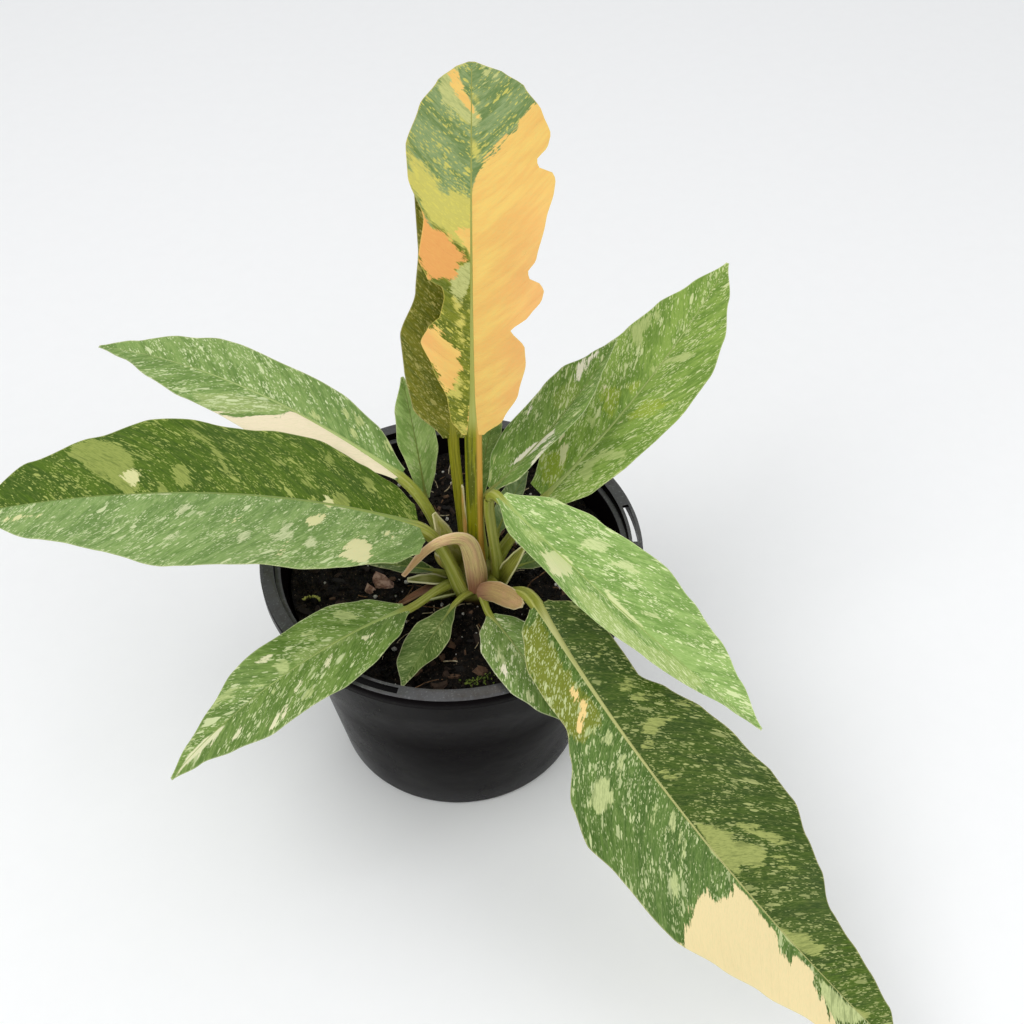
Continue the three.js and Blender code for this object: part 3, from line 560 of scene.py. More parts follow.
SHEATHS = {
    "sheath_tall": Sheath(
        spine=[(3, -8, 101), (-2, -8.5, 117), (-6, -7, 132)], opens=(0.6, -0.8, 0.3), wrap=50,
        half=[3, 4.5, 3.6, 0.8], main=rgb(180, 180, 84), blush=rgb(218, 210, 150), blush_share=0.6,
        foot=rgb(140, 142, 48), rim=rgb(222, 214, 170),
    ),
    "sheath_middle": Sheath(
        spine=[(7, -7, 103), (5.5, -6, 122), (5.5, -5, 144)], opens=(1, 0.3, 0), wrap=45,
        half=[2.4, 4, 3, 1.4, 0.6], main=rgb(190, 160, 76), blush=rgb(226, 166, 104), blush_share=0.6,
    ),
    "sheath_hooked": Sheath(
        spine=[(9, -20.5, 100), (8.5, -19, 113), (5.5, -17, 125.5), (-1.4, -18, 128.6), (-9.9, -20, 125.6),
               (-19.2, -22, 114.8)],
        opens=(0, 1, -0.2), wrap=50, half=[3.6, 4.4, 3.8, 2.7, 2.2, 1.5, 0.6], slot="sheath_tan",
        main=rgb(226, 206, 140), foot=rgb(158, 108, 80), blush=rgb(222, 170, 138), blush_share=0.45,
        rim=rgb(236, 206, 168), tip=rgb(200, 158, 108),
    ),
    "sheath_tongue": Sheath(
        spine=[(9, -22.5, 103.5), (14.5, -30, 111.5), (20, -39, 117.8), (24.6, -46, 121.6)],
        opens=(0.3, 0.5, -0.7), wrap=45,
        half=[3, 3.9, 4.2, 4, 3.2, 0.8], slot="sheath_tan", main=rgb(190, 162, 104),
        foot=rgb(168, 124, 96), blush=rgb(202, 158, 118), blush_share=0.5, rim=rgb(232, 216, 174),
    ),
    "sheath_boat": Sheath(
        spine=[(19, -15, 99), (22, -15.5, 107), (28, -13, 117)], opens=(-0.6, -0.5, 0.6), wrap=70,
        half=[2.4, 3.8, 3.8, 2.6, 0.8], main=rgb(150, 152, 60), foot=rgb(104, 106, 32),
        blush=rgb(176, 174, 92), rim=rgb(222, 218, 166),
    ),
    "sheath_low_left": Sheath(
        spine=[(-1, -18, 97.5), (-6, -21.5, 100.5), (-11, -24.5, 103)], opens=(0, 0.2, 1), wrap=75,
        half=[2.2, 3.4, 3.4, 1], main=rgb(122, 134, 72), rim=rgb(196, 200, 150),
    ),
    "sheath_wide_left": Sheath(
        spine=[(-1.5, -9, 101), (-5, -12, 109), (-6, -15, 118)], opens=(0.8, 0.6, 0.2), wrap=50,
        half=[2.6, 4.2, 3.8, 0.8], main=rgb(172, 168, 74), blush=rgb(222, 190, 120), blush_share=0.5,
    ),
    "sheath_pointed_left": Sheath(
        spine=[(-3, -13.5, 100), (-10, -16, 104.5), (-18, -17.5, 107)], opens=(0.2, -0.2, 1), wrap=60,
        half=[1.6, 2.6, 2, 0.6], main=rgb(136, 140, 74),
    ),
    "sheath_withered_left": Sheath(
        spine=[(-2.6, -11, 97.8), (-12, -18.5, 101), (-23, -24, 99.5)], opens=(0, 0.2, 1), wrap=55,
        half=[1.4, 2, 1.8, 0.6], slot="sheath_tan", main=rgb(120, 84, 58), foot=rgb(84, 60, 42),
        blush=rgb(160, 110, 80), blush_share=0.6, rim=rgb(150, 112, 78),
    ),
}


# Curves and surfaces

VEIN_CURVE = 0.011


def direction(azimuth, slope):
    """A unit vector at an azimuth from +X towards +Y and a slope above level."""
    flat = math.cos(math.radians(slope))
    turn = math.radians(azimuth)
    return Vector((flat * math.cos(turn), flat * math.sin(turn), math.sin(math.radians(slope))))


def lerp(first, second, share):
    """The value a share of the way from the first to the second."""
    return first + (second - first) * share


def width_at(stations, t):
    """Half width at t, eased between the listed stations."""
    pairs = stations
    if not isinstance(stations[0], tuple):
        pairs = [(i / (len(stations) - 1), width) for i, width in enumerate(stations)]
    for before, after in zip(pairs, pairs[1:]):
        if t <= after[0]:
            share = (t - before[0]) / (after[0] - before[0])
            eased = share * share * (3 - 2 * share)
            return lerp(before[1], after[1], (share + eased) / 2)
    return pairs[-1][1]


@dataclass
class Station:
    """A place on a midrib with its three directions."""

    t: float
    point: Vector
    side: Vector
    face: Vector
    along: Vector


def midrib(leaf, rows):
    """The midrib's stations from the neck to the tip."""
    step = leaf.length / rows
    point = Vector(leaf.neck)
    turn = math.radians(leaf.roll)
    stations = []
    for row in range(rows + 1):
        t = row / rows
        azimuth = leaf.azimuth + leaf.sweep * t
        along = direction(azimuth, lerp(*leaf.rise, t))
        side = direction(azimuth - 90, 0)
        face = side.cross(along)
        stations.append(Station(
            t=t,
            point=point.copy(),
            side=side * math.cos(turn) + face * math.sin(turn),
            face=face * math.cos(turn) - side * math.sin(turn),
            along=along,
        ))
        middle = (row + 0.5) / rows
        point += direction(leaf.azimuth + leaf.sweep * middle, lerp(*leaf.rise, middle)) * step
    return stations


def vein_phase(along, across, slant):
    """Distance along the midrib at which the side vein through a point leaves it."""
    return along - slant * abs(across) - VEIN_CURVE * across * across


def blade_point(leaf, station, v, settings):
    """A point of the blade's upper face, v running from -1 at its left edge to 1 at its right."""
    width = width_at(leaf.left if v < 0 else leaf.right, station.t) * abs(v)
    bend = math.radians(leaf.fold)
    turn = station.t * leaf.waves + (0.8 if v < 0 else 0.5)
    ripple = leaf.wave * v * v * math.sin(turn * math.tau) * math.sin(station.t * math.pi)
    across = math.copysign(width, v)
    along = station.t * leaf.length
    phase = vein_phase(along, across, leaf.skin.slant)
    seed = Vector((along * 0.045, across * 0.07, leaf.azimuth))
    uneven = noise.noise(Vector((phase * 0.11, across * 0.03, leaf.azimuth)))
    pleat = math.cos((phase / (settings.vein_spacing * 1000) + uneven * 1.6) * math.tau)
    shoulder = min(1, width / 5) * min(1, (1 - abs(v)) * 6) * (0.6 + 0.8 * abs(uneven))
    relief = settings.vein_relief * 1000 * pleat * shoulder
    unrest = 0.6 * abs(v) * noise.noise(seed) + 0.35 * v * v * noise.noise(seed * 3.1)
    unrest *= min(1, (1 - station.t) * 8)
    gutter = 0.35 * math.exp(-((across / 1.6) ** 2)) * (1 - station.t)
    lift = width * math.sin(bend) + ripple + relief + unrest - gutter
    return station.point + station.side * (across * math.cos(bend)) + station.face * lift


def bezier(points, t):
    """A point on a cubic curve."""
    a, b, c, d = points
    rest = 1 - t
    return a * rest**3 + b * (3 * rest * rest * t) + c * (3 * rest * t * t) + d * t**3


def stalk_controls(leaf):
    """The four control points of the stalk, from its foot on the crown to the neck."""
    foot = Vector(leaf.foot)
    neck = Vector(leaf.neck)
    reach = (neck - foot).length
    start = ((neck - foot).normalized() + UP * leaf.lean).normalized()
    end = direction(leaf.azimuth, leaf.rise[0])
    below = direction(leaf.azimuth, leaf.rise[0] + 90) * (-leaf.stalk * 0.6)
    return foot, foot + start * (reach * 0.33), neck - end * (reach * 0.3) + below, neck + below


def smooth_curve(points, t):
    """A point on a Catmull-Rom spline through points, t running from 0 to 1."""
    spans = len(points) - 1
    index = min(int(t * spans), spans - 1)
    local = t * spans - index
    ends = [points[0] * 2 - points[1], *points, points[-1] * 2 - points[-2]]
    a, b, c, d = ends[index:index + 4]
    return (b * 2 + (c - a) * local + (a * 2 - b * 5 + c * 4 - d) * local**2
            + (b * 3 - a - c * 3 + d) * local**3) * 0.5


# Meshes


def new_piece(name, bm, materials, replaces=(), crease=50):
    """Makes an object of a bmesh, shades it smooth between its sharp edges and lets it ride."""
    mesh = bpy.data.meshes.new(name)
    bm.to_mesh(mesh)
    bm.free()
    mesh.shade_smooth()
    mesh.set_sharp_from_angle(angle=math.radians(crease))
    for material in materials:
        mesh.materials.append(material)
    piece = bpy.data.objects.new(name, mesh)
    bpy.context.scene.collection.objects.link(piece)
    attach(piece, BODY)
    if replaces:
        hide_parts(*replaces)
    return piece


def thicken(bm, verts, offset_of):
    """Gives an open sheet its underside: a copy moved by offset_of(vert), walled round the border."""
    under = bm.verts.layers.float["under"]
    faces = list({face for vert in verts for face in vert.link_faces})
    made = bmesh.ops.extrude_face_region(bm, geom=faces, use_keep_orig=True)["geom"]
    for vert in (item for item in made if isinstance(item, bmesh.types.BMVert)):
        vert[under] = 1
        vert.co += offset_of(vert)
    bmesh.ops.recalc_face_normals(bm, faces=bm.faces[:])


def add_tube(bm, rings, sides, place, material):
    """A closed tube from a grid: place(vert, ring share, side share) puts each vertex."""
    made = bmesh.ops.create_grid(bm, x_segments=sides, y_segments=rings, size=1)["verts"]
    faces = list({face for vert in made for face in vert.link_faces})
    for vert in made:
        along, around = (vert.co.y + 1) / 2, (vert.co.x + 1) / 2
        place(vert, along, around)
    for face in faces:
        face.material_index = material
    bmesh.ops.remove_doubles(bm, verts=made, dist=1e-7)
    live = [vert for vert in made if vert.is_valid]
    border = list({edge for vert in live for edge in vert.link_edges if edge.is_boundary})
    caps = bmesh.ops.holes_fill(bm, edges=border, sides=0)["faces"] if border else []
    for cap in caps:
        cap.material_index = material
    faces = [face for face in faces if face.is_valid]
    bmesh.ops.recalc_face_normals(bm, faces=faces + caps)


def spin_outline(bm, outline, centre, steps):
    """Turns an outline of (radius, height) pairs, in millimetres, about a vertical axis."""
    axis = Vector((*centre, 0)) * MM
    verts = [bm.verts.new(axis + Vector((radius, 0, height)) * MM) for radius, height in outline]
    edges = [bm.edges.new(pair) for pair in zip(verts, verts[1:])]
    bmesh.ops.spin(bm, geom=verts + edges, cent=axis, axis=UP, angle=math.tau, steps=steps, use_merge=True)
    bmesh.ops.remove_doubles(bm, verts=bm.verts[:], dist=1e-7)
    bmesh.ops.recalc_face_normals(bm, faces=bm.faces[:])


def signed_distance(outline, x, y):
    """Distance from a point to a closed outline, positive inside it."""
    inside = False
    nearest = 1e9
    for (x0, y0), (x1, y1) in zip(outline, outline[1:] + outline[:1]):
        dx, dy = x1 - x0, y1 - y0
        share = max(0, min(1, ((x - x0) * dx + (y - y0) * dy) / (dx * dx + dy * dy + 1e-9)))
        nearest = min(nearest, math.hypot(x - x0 - share * dx, y - y0 - share * dy))
        if (y0 > y) != (y1 > y) and x < (x1 - x0) * (y - y0) / (y1 - y0) + x0:
            inside = not inside
    return nearest if inside else -nearest


REGIONS = ("lime", "pale", "cream", "warm")
FAR = 12


def region_value(outlines, along, across):
    """Signed distance to the nearest of a region's outlines, kept between -FAR and FAR."""
    best = -FAR
    for outline in outlines:
        best = max(best, signed_distance(outline, along, across))
    return min(best, FAR)


def add_blade(bm, leaf, patches, settings):
    """The blade: a grid laid along the midrib, marked, then given its thickness."""
    layers = bm.verts.layers.float
    spacing = settings.row_spacing / MM
    rows = max(24, round(leaf.length / spacing))
    widest = max(width_at(side, i / 20) for side in (leaf.left, leaf.right) for i in range(21))
    columns = 2 * max(8, round(widest / (spacing * 0.9)))
    stations = midrib(leaf, rows)
    verts = bmesh.ops.create_grid(bm, x_segments=columns, y_segments=rows, size=1)["verts"]
    for vert in verts:
        v = math.copysign(abs(vert.co.x) ** 1.15, vert.co.x)
        row = round((vert.co.y + 1) / 2 * rows)
        station = stations[row]
        width = width_at(leaf.left if v < 0 else leaf.right, station.t)
        along, across = station.t * leaf.length, width * v
        vert[layers["row"]] = row
        vert[layers["along"]] = along
        vert[layers["across"]] = across
        vert[layers["edge"]] = min(width * (1 - abs(v)), leaf.length - along)
        for name in REGIONS:
            vert[layers[name]] = region_value(patches.get(name, ()), along, across)
        vert.co = blade_point(leaf, station, v, settings) * MM

    def below(vert):
        thin = min(1, 0.35 + vert[layers["edge"]] / 3)
        return stations[round(vert[layers["row"]])].face * (-settings.blade_thickness * thin)

    thicken(bm, verts, below)


def stalk_rings(leaf, stations):
    """Rings of the stalk and of the rib it runs on into: centre, tangent, radius, distance, channel."""
    controls = stalk_controls(leaf)
    reach = (controls[3] - controls[0]).length
    stem_rings = max(18, round(reach / 1.5))
    rib_rings = max(18, round(leaf.length / 3))
    rings = []
    for i in range(stem_rings):
        share = i / stem_rings
        ahead = bezier(controls, min(1, share + 0.01))
        behind = bezier(controls, max(0, share - 0.01))
        rings.append((bezier(controls, share), (ahead - behind).normalized(), leaf.stalk,
                      (share - 1) * reach, 1.0))
    for i in range(rib_rings + 1):
        t = 0.985 * i / rib_rings
        index = min(59, int(t * 60))
        before, after = stations[index], stations[index + 1]
        centre = before.point.lerp(after.point, t * 60 - index)
        radius = leaf.stalk * (0.09 + 0.55 * math.exp(-2.4 * t) * (1 - t) + 0.36 * math.exp(-18 * t))
        drop = radius * lerp(0.6, 0.82, min(1, t / 0.12))
        rings.append((centre - before.face * drop, before.along, radius, t * leaf.length,
                      max(0.0, 1 - t / 0.08)))
    root = controls[0] + (controls[0] - controls[1]).normalized() * 3
    return [(root, rings[0][1], leaf.stalk, -reach - 3, 1.0), *rings], reach


def add_stalk(bm, leaf):
    """The stalk from the crown to the neck, which runs on as the rib to the tip."""
    layers = bm.verts.layers.float
    stations = midrib(leaf, 60)
    rings, reach = stalk_rings(leaf, stations)
    upper = direction(leaf.azimuth, leaf.rise[0] + 90)

    def place(vert, along, around):
        point, tangent, radius, distance, channel = rings[round(along * (len(rings) - 1))]
        face = upper
        if distance >= 0:
            face = stations[min(60, round(distance / leaf.length * 60))].face
        face = (face - tangent * face.dot(tangent)).normalized()
        side = tangent.cross(face)
        angle = (around - 0.5) * math.tau
        groove = 1 - 0.34 * channel * math.exp(-((angle / 0.5) ** 2))
        wide = radius * (1 + 0.3 * math.exp(-(((distance + reach) / 9) ** 2)))
        offset = face * (math.cos(angle) * wide * groove) + side * (math.sin(angle) * wide)
        vert.co = (point + offset) * MM
        vert[layers["along"]] = distance
        vert[layers["across"]] = (around * 2 - 1) * 10
        vert[layers["edge"]] = radius

    add_tube(bm, len(rings) - 1, 20, place, 1)


def leaf_bmesh(leaf, patches, settings):
    """Blade, rib and stalk in one mesh, with the measures that their materials read."""
    bm = bmesh.new()
    for name in ("along", "across", "edge", "under", "row", *REGIONS):
        bm.verts.layers.float.new(name)
    add_blade(bm, leaf, patches, settings)
    add_stalk(bm, leaf)
    return bm


def sheath_bmesh(sheath, settings):
    """A cupped sheet on a grid, thickened, with a thin wavy rim."""
    bm = bmesh.new()
    layers = bm.verts.layers.float
    for name in ("along", "across", "edge", "under", "row", "end"):
        layers.new(name)
    spine = [Vector(point) for point in sheath.spine]
    opens = Vector(sheath.opens)
    wrap = math.radians(sheath.wrap)
    lot = sheath.wrap + sheath.spine[0][0]
    length = sum((b - a).length for a, b in zip(spine, spine[1:]))
    rows = max(40, round(length / 0.8))
    verts = bmesh.ops.create_grid(bm, x_segments=22, y_segments=rows, size=1)["verts"]
    offsets = []
    for vert in verts:
        v, t = vert.co.x, (vert.co.y + 1) / 2
        along = (smooth_curve(spine, min(1, t + 0.01)) - smooth_curve(spine, max(0, t - 0.01))).normalized()
        face = (opens - along * opens.dot(along)).normalized()
        side = face.cross(along)
        rim_wave = noise.noise(Vector((t * 7, math.copysign(3, v), lot)))
        half = width_at(sheath.half, t) * (1 + 0.05 * rim_wave)
        radius = half / wrap
        turn = v * wrap
        lift = 0.3 * noise.noise(Vector((t * 5, v * 2, lot))) * abs(v)
        ridge = 0.09 * math.cos(v * 26 + 2 * noise.noise(Vector((t * 3, v, lot))))
        outward = side * math.sin(turn) + face * math.cos(turn)
        vert.co = (smooth_curve(spine, t) - side * (radius * math.sin(turn))
                   + face * (radius * (1 - math.cos(turn)) + lift) + outward * ridge) * MM
        vert[layers["row"]] = len(offsets)
        offsets.append(outward * -settings.thickness)
        vert[layers["along"]] = t * length
        vert[layers["across"]] = v * half
        vert[layers["end"]] = (1 - t) * length
        vert[layers["edge"]] = min(half * (1 - abs(v)), (1 - t) * length)
    thicken(bm, verts, lambda vert: offsets[round(vert[layers["row"]])])
    return bm


# Shader nodes


class Value:
    """A socket's value. Arithmetic on it adds maths nodes to the same tree."""

    def __init__(self, nodes, socket):
        self.nodes = nodes
        self.socket = socket

    def __add__(self, other):
        """Sum with a number or another value."""
        return self.nodes.math("ADD", self, other)

    def __sub__(self, other):
        """Difference with a number or another value."""
        return self.nodes.math("SUBTRACT", self, other)

    def __mul__(self, other):
        """Product with a number or another value."""
        return self.nodes.math("MULTIPLY", self, other)

    def __truediv__(self, other):
        """Quotient with a number or another value."""
        return self.nodes.math("DIVIDE", self, other)

    def swing(self, reach):
        """A noise, moved to swing about zero."""
        return self * (2 * reach) - reach

    def up(self, low, high):
        """0 below low, 1 above high and smooth between."""
        return self.nodes.add("ShaderNodeMapRange", {"Value": self, "From Min": low, "From Max": high},
                              interpolation_type="SMOOTHSTEP")

    def down(self, low, high):
        """1 below low, 0 above high and smooth between."""
        return self.nodes.math("SUBTRACT", 1.0, self.up(low, high))


class Nodes:
    """Adds nodes to one tree. An input given as a Value is linked, and any other is set."""

    def __init__(self, tree):
        self.tree = tree

    def feed(self, socket, value):
        """Links or sets one input."""
        if isinstance(value, Value):
            self.tree.links.new(value.socket, socket)
        else:
            socket.default_value = value

    def new(self, kind, inputs, **settings):
        """A new node with its settings made and its inputs fed."""
        node = self.tree.nodes.new(kind)
        for name, value in settings.items():
            setattr(node, name, value)
        for key, value in inputs.items():
            self.feed(node.inputs[key], value)
        return node

    def add(self, kind, inputs, output=0, **settings):
        """The value of one output of a new node."""
        return Value(self, self.new(kind, inputs, **settings).outputs[output])

    def math(self, operation, first, second=0.0):
        """One maths node."""
        return self.add("ShaderNodeMath", {0: first, 1: second}, operation=operation)

    def mix(self, share, first, second, blend="MIX"):
        """A colour between two others."""
        return self.add("ShaderNodeMix", {0: share, 6: first, 7: second}, 2, data_type="RGBA",
                        blend_type=blend)

    def scaled(self, vector, factors):
        """A vector with its three parts multiplied."""
        return self.add("ShaderNodeVectorMath", {0: vector, 1: factors}, operation="MULTIPLY")

    def height_of(self, vector):
        """The upward part of a vector."""
        return self.add("ShaderNodeSeparateXYZ", {0: vector}, 2)

    def noise(self, vector, scale, detail=2.0, rough=0.5, output="Fac"):
        """A noise from 0 to 1, or its colour."""
        return self.add("ShaderNodeTexNoise", {"Vector": vector, "Scale": scale, "Detail": detail,
                                               "Roughness": rough}, output)

    def grain(self, along, across, seed, fine, coarse, detail=2.0, rough=0.5):
        """Noise drawn out in one direction, with its own fineness along it and across."""
        at = self.add("ShaderNodeCombineXYZ", {0: along * fine, 1: across * coarse, 2: seed})
        return self.noise(at, 1.0, detail, rough)

    def attribute(self, name):
        """A measure that the mesh carries at each vertex."""
        return self.add("ShaderNodeAttribute", {}, "Fac", attribute_name=name)

    def place(self):
        """The place on the piece, in metres."""
        return self.add("ShaderNodeTexCoord", {}, "Object")


class Surface(Nodes):
    """A material's tree, whose own shader holds what is the same all over it."""

    def __init__(self, name, roughness, specular=0.5, coat=0.0, coat_roughness=0.1):
        self.material = bpy.data.materials.new(name)
        self.material.use_nodes = True
        super().__init__(self.material.node_tree)
        self.shader = self.tree.nodes["Principled BSDF"].inputs
        for label, value in (("Roughness", roughness), ("Specular IOR Level", specular),
                             ("Coat Weight", coat), ("Coat Roughness", coat_roughness)):
            self.shader[label].default_value = value

    def finish(self, colour, height, depth, roughness=None):
        """Feeds the shader with what varies and gives the material."""
        self.feed(self.shader["Base Color"], colour)
        self.feed(self.shader["Normal"],
                  self.add("ShaderNodeBump", {"Height": height, "Distance": depth}, "Normal"))
        if roughness:
            self.feed(self.shader["Roughness"], roughness)
        return self.material


def label_of(key):
    """The label of a socket or group that the code calls key."""
    return key.replace("_", " ").title()


def group(nodes, build, **values):
    """Places the node group that build makes on first use, and gives its outputs by name.

    The group's inputs are named like the values. A colour, given as a tuple, makes a colour input.
    """
    name = label_of(build.__name__)
    tree = bpy.data.node_groups.get(name)
    if tree is None:
        tree = bpy.data.node_groups.new(name, "ShaderNodeTree")
        for key, value in values.items():
            kind = "NodeSocketColor" if isinstance(value, tuple) else "NodeSocketFloat"
            tree.interface.new_socket(name=label_of(key), in_out="INPUT", socket_type=kind)
        entry = tree.nodes.new("NodeGroupInput")
        inner = Nodes(tree)
        made = build(inner, **{key: Value(inner, entry.outputs[label_of(key)]) for key in values})
        for key in made:
            kind = "NodeSocketColor" if key == "colour" else "NodeSocketFloat"
            tree.interface.new_socket(name=label_of(key), in_out="OUTPUT", socket_type=kind)
        leave = tree.nodes.new("NodeGroupOutput")
        for key, value in made.items():
            inner.feed(leave.inputs[label_of(key)], value)
    inputs = {label_of(key): value for key, value in values.items()}
    outputs = nodes.new("ShaderNodeGroup", inputs, node_tree=tree).outputs
    return SimpleNamespace(**{socket.name.lower(): Value(nodes, socket) for socket in outputs})


# Leaf, stalk and sheath materials

BROAD_NOISE = (0.17, 0.04, 2.0, 0.5)
BAND_NOISE = (0.75, 0.13, 3.0, 0.6)
FINE_NOISE = (2.8, 0.5, 3.0, 0.65)
TEETH_NOISE = (0.55, 0.11, 4.0, 0.68)
CROWD_NOISE = (0.12, 0.06, 3.0)
VEIN_WANDER = 5.0
DEEPER = (0.46, 0.58, 0.36, 1.0)
DASH_BEND = (0.55, 0.55, 0.0)
# Fineness along the midrib and along the veins, share of dashes and shift of the seed.
STREAKS = ((2.2, 0.85, 0.9, 0.0), (1.3, 0.45, 0.85, 7.3), (0.8, 0.27, 0.5, 13.7), (0.45, 0.17, 0.22, 21.1),
           (0.24, 0.11, 0.08, 29.9))
SKIN_INPUTS = ("green", "green_right", "green_tip", "speck", "speck_right", "lime", "pale", "pale_right",
               "cream", "cream_rim", "warm", "specks", "mottle", "sheen", "blush", "lime_cover")
MARKS = ("along", "across", "edge", "under")


def vein_streaks(nodes, phase, across, fineness, stretch, seed, share):
    """Short pale dashes that lie along the side veins."""
    at = nodes.add("ShaderNodeCombineXYZ", {0: phase * fineness, 1: across * stretch, 2: seed})
    drift = nodes.noise(at, 2.3, 1.0, output="Color")
    bent = nodes.add("ShaderNodeVectorMath", {0: drift, 1: DASH_BEND, 2: at}, operation="MULTIPLY_ADD")
    cells = nodes.new("ShaderNodeTexVoronoi", {"Vector": bent, "Scale": 1.0}).outputs
    lots = nodes.new("ShaderNodeSeparateColor", {0: Value(nodes, cells["Color"])}).outputs
    chance, size, strength = (Value(nodes, lot) for lot in lots)
    shape = (size * 0.28 + 0.14 - Value(nodes, cells["Distance"])).up(-0.05, 0.05)
    return {"mask": shape * nodes.math("LESS_THAN", chance, share) * (strength * 0.45 + 0.55)}


def side_veins(nodes, along, across, seed, spacing, slant):
    """The distance along the side veins, and noises drawn out along them."""
    reach = nodes.math("ABSOLUTE", across)
    leaves_at = along - reach * (reach * VEIN_CURVE + slant)
    stretch = nodes.math("SQRT", slant * slant + 1.0)
    phase, sweep = leaves_at / stretch, across * stretch
    kinds = (BROAD_NOISE, BAND_NOISE, FINE_NOISE)
    broad, band, grain = (nodes.grain(phase, sweep, seed, *kind) for kind in kinds)
    place = nodes.math("FRACT", (broad * VEIN_WANDER + leaves_at) / spacing)
    line = (nodes.math("ABSOLUTE", place - 0.5) * spacing).down(0.05, 0.4)
    return {"phase": phase, "sweep": sweep, "reach": reach, "broad": broad, "band": band, "grain": grain,
            "line": line}


def leaf_markings(nodes, along, across, edge, under, seed, tip_from, spacing, slant, **looks):
    """The blade's colours: mottled green, streaks, patches with ragged edges, pale margin."""
    skin = SimpleNamespace(**looks)
    veins = group(nodes, side_veins, along=along, across=across, seed=seed, spacing=spacing, slant=slant)
    # Each half takes its own green, fleck and pale, and the green turns to the tip's green towards the tip;
    # on some leaves the lighter half or the tip is painted sheen.
    side = across.up(-0.5, 0.5)
    green = nodes.mix(side, skin.green, skin.green_right)
    fleck = nodes.mix(side, skin.speck, skin.speck_right)
    pale = nodes.mix(side, skin.pale, skin.pale_right)
    green = nodes.mix((along - tip_from + veins.band.swing(16.0)).up(-8.0, 8.0), green, skin.green_tip)
    deep = nodes.mix(1.0, green, DEEPER, "MULTIPLY")
    depth = (veins.broad * 0.45 + veins.band * 0.55).down(0.42, 0.58)
    green = nodes.mix(depth * skin.mottle, green, deep)
    green = nodes.mix(veins.grain.up(0.45, 0.75) * 0.25, green, pale)
    green = nodes.mix(veins.grain.down(0.25, 0.52) * 0.5, green, deep)
    green = nodes.mix(veins.line * 0.1, green, pale)

    teeth = nodes.grain(veins.phase, veins.sweep, seed, *TEETH_NOISE)
    ragged = (teeth.swing(4.4) + veins.grain.swing(1.6)) * (veins.reach.up(0.3, 4.0) * 0.9 + 0.1)

    def inside(distance, soft):
        """1 within a patch, 0 outside it, with a ragged edge."""
        return (distance + ragged).up(-soft, soft)

    lime = inside(skin.lime_distance, 0.9)
    tinted = nodes.mix(lime * skin.lime_cover, green, skin.lime)
    crowd = nodes.grain(veins.phase, veins.sweep, seed, *CROWD_NOISE).up(0.4, 0.62)
    share = nodes.math("MAXIMUM", skin.specks * (crowd * 0.85 + 0.18), lime * 0.95)
    speck = 0.0
    for fineness, stretch, portion, shift in STREAKS:
        dashes = group(nodes, vein_streaks, phase=veins.phase, across=veins.sweep, fineness=fineness,
                       stretch=stretch, seed=seed + shift, share=share * portion)
        speck = nodes.math("MAXIMUM", speck, dashes.mask)
    colour = nodes.mix(speck * 0.9, tinted, fleck)

    gaps = nodes.math("MAXIMUM", veins.grain.down(0.3, 0.58) * 0.45, veins.band.down(0.36, 0.5) * 0.45)
    colour = nodes.mix(inside(skin.pale_distance, 0.4), colour, nodes.mix(gaps, pale, green))
    outward = (veins.broad * 16.0 + veins.reach).up(12.0, 34.0) * along.down(50.0, 105.0)
    cream = nodes.mix(outward, skin.cream, skin.cream_rim)
    cloud = (veins.broad + veins.band * 0.4).up(0.5, 0.85)
    flushed = veins.grain.up(0.4, 0.8)
    cream = nodes.mix(cloud * skin.blush, cream, skin.warm)
    cream = nodes.mix(flushed * 0.14, cream, skin.warm)
    cream = nodes.mix(veins.grain.down(0.3, 0.6) * 0.2, cream, pale)
    colour = nodes.mix(inside(skin.cream_distance, 0.3), colour, cream)
    warm = nodes.mix(flushed * 0.3, skin.warm, skin.cream)
    colour = nodes.mix(inside(skin.warm_distance, 0.3), colour, warm)

    colour = nodes.mix(edge.down(0.1, 0.45) * 0.4, colour, nodes.mix(0.5, fleck, skin.cream))
    beneath = nodes.mix(0.45, colour, nodes.mix(0.5, pale, skin.green))
    return {"colour": nodes.mix(under, colour, beneath),
            "height": veins.grain * 0.2 + veins.band * 0.35 - veins.line * 0.1,
            "roughness": veins.grain * 0.2 + under * 0.2 + skin.sheen}


def blade_material(name, leaf, seed, settings):
    """The blade's own material: the markings group with this leaf's colours."""
    skin = leaf.skin
    surface = Surface(name + "_blade", skin.sheen, specular=0.2, coat=0.03, coat_roughness=0.3)
    marked = group(
        surface, leaf_markings, seed=seed, tip_from=leaf.length * skin.tip_from,
        spacing=settings.vein_spacing / MM, slant=skin.slant,
        **{mark: surface.attribute(mark) for mark in MARKS},
        **{patch + "_distance": surface.attribute(patch) for patch in REGIONS},
        **{look: getattr(skin, look) for look in SKIN_INPUTS})
    return surface.finish(marked.colour, marked.height, 0.0004, marked.roughness)


def stem_skin(nodes, along, across, seed, main, stripe, rib, margin, margin_share):
    """Stem skin: long stripes, flecks, a tinted margin, fading into the rib's colour."""
    streak = nodes.grain(along, across, seed, 0.03, 0.6, 3.0, 0.6)
    fleck = nodes.grain(along, across, seed, 0.6, 1.1, 2.0, 0.6)
    colour = nodes.mix(streak.up(0.46, 0.6), main, stripe)
    colour = nodes.mix(fleck.up(0.58, 0.72) * 0.4, colour, rib)
    colour = nodes.mix(across.up(0.8, 2.0) * across.down(6.2, 7.2) * margin_share, colour, margin)
    ribbed = nodes.mix(streak.up(0.4, 0.6) * 0.3, rib, main)
    return {"colour": nodes.mix(along.up(-2.0, 8.0), colour, ribbed), "height": streak}


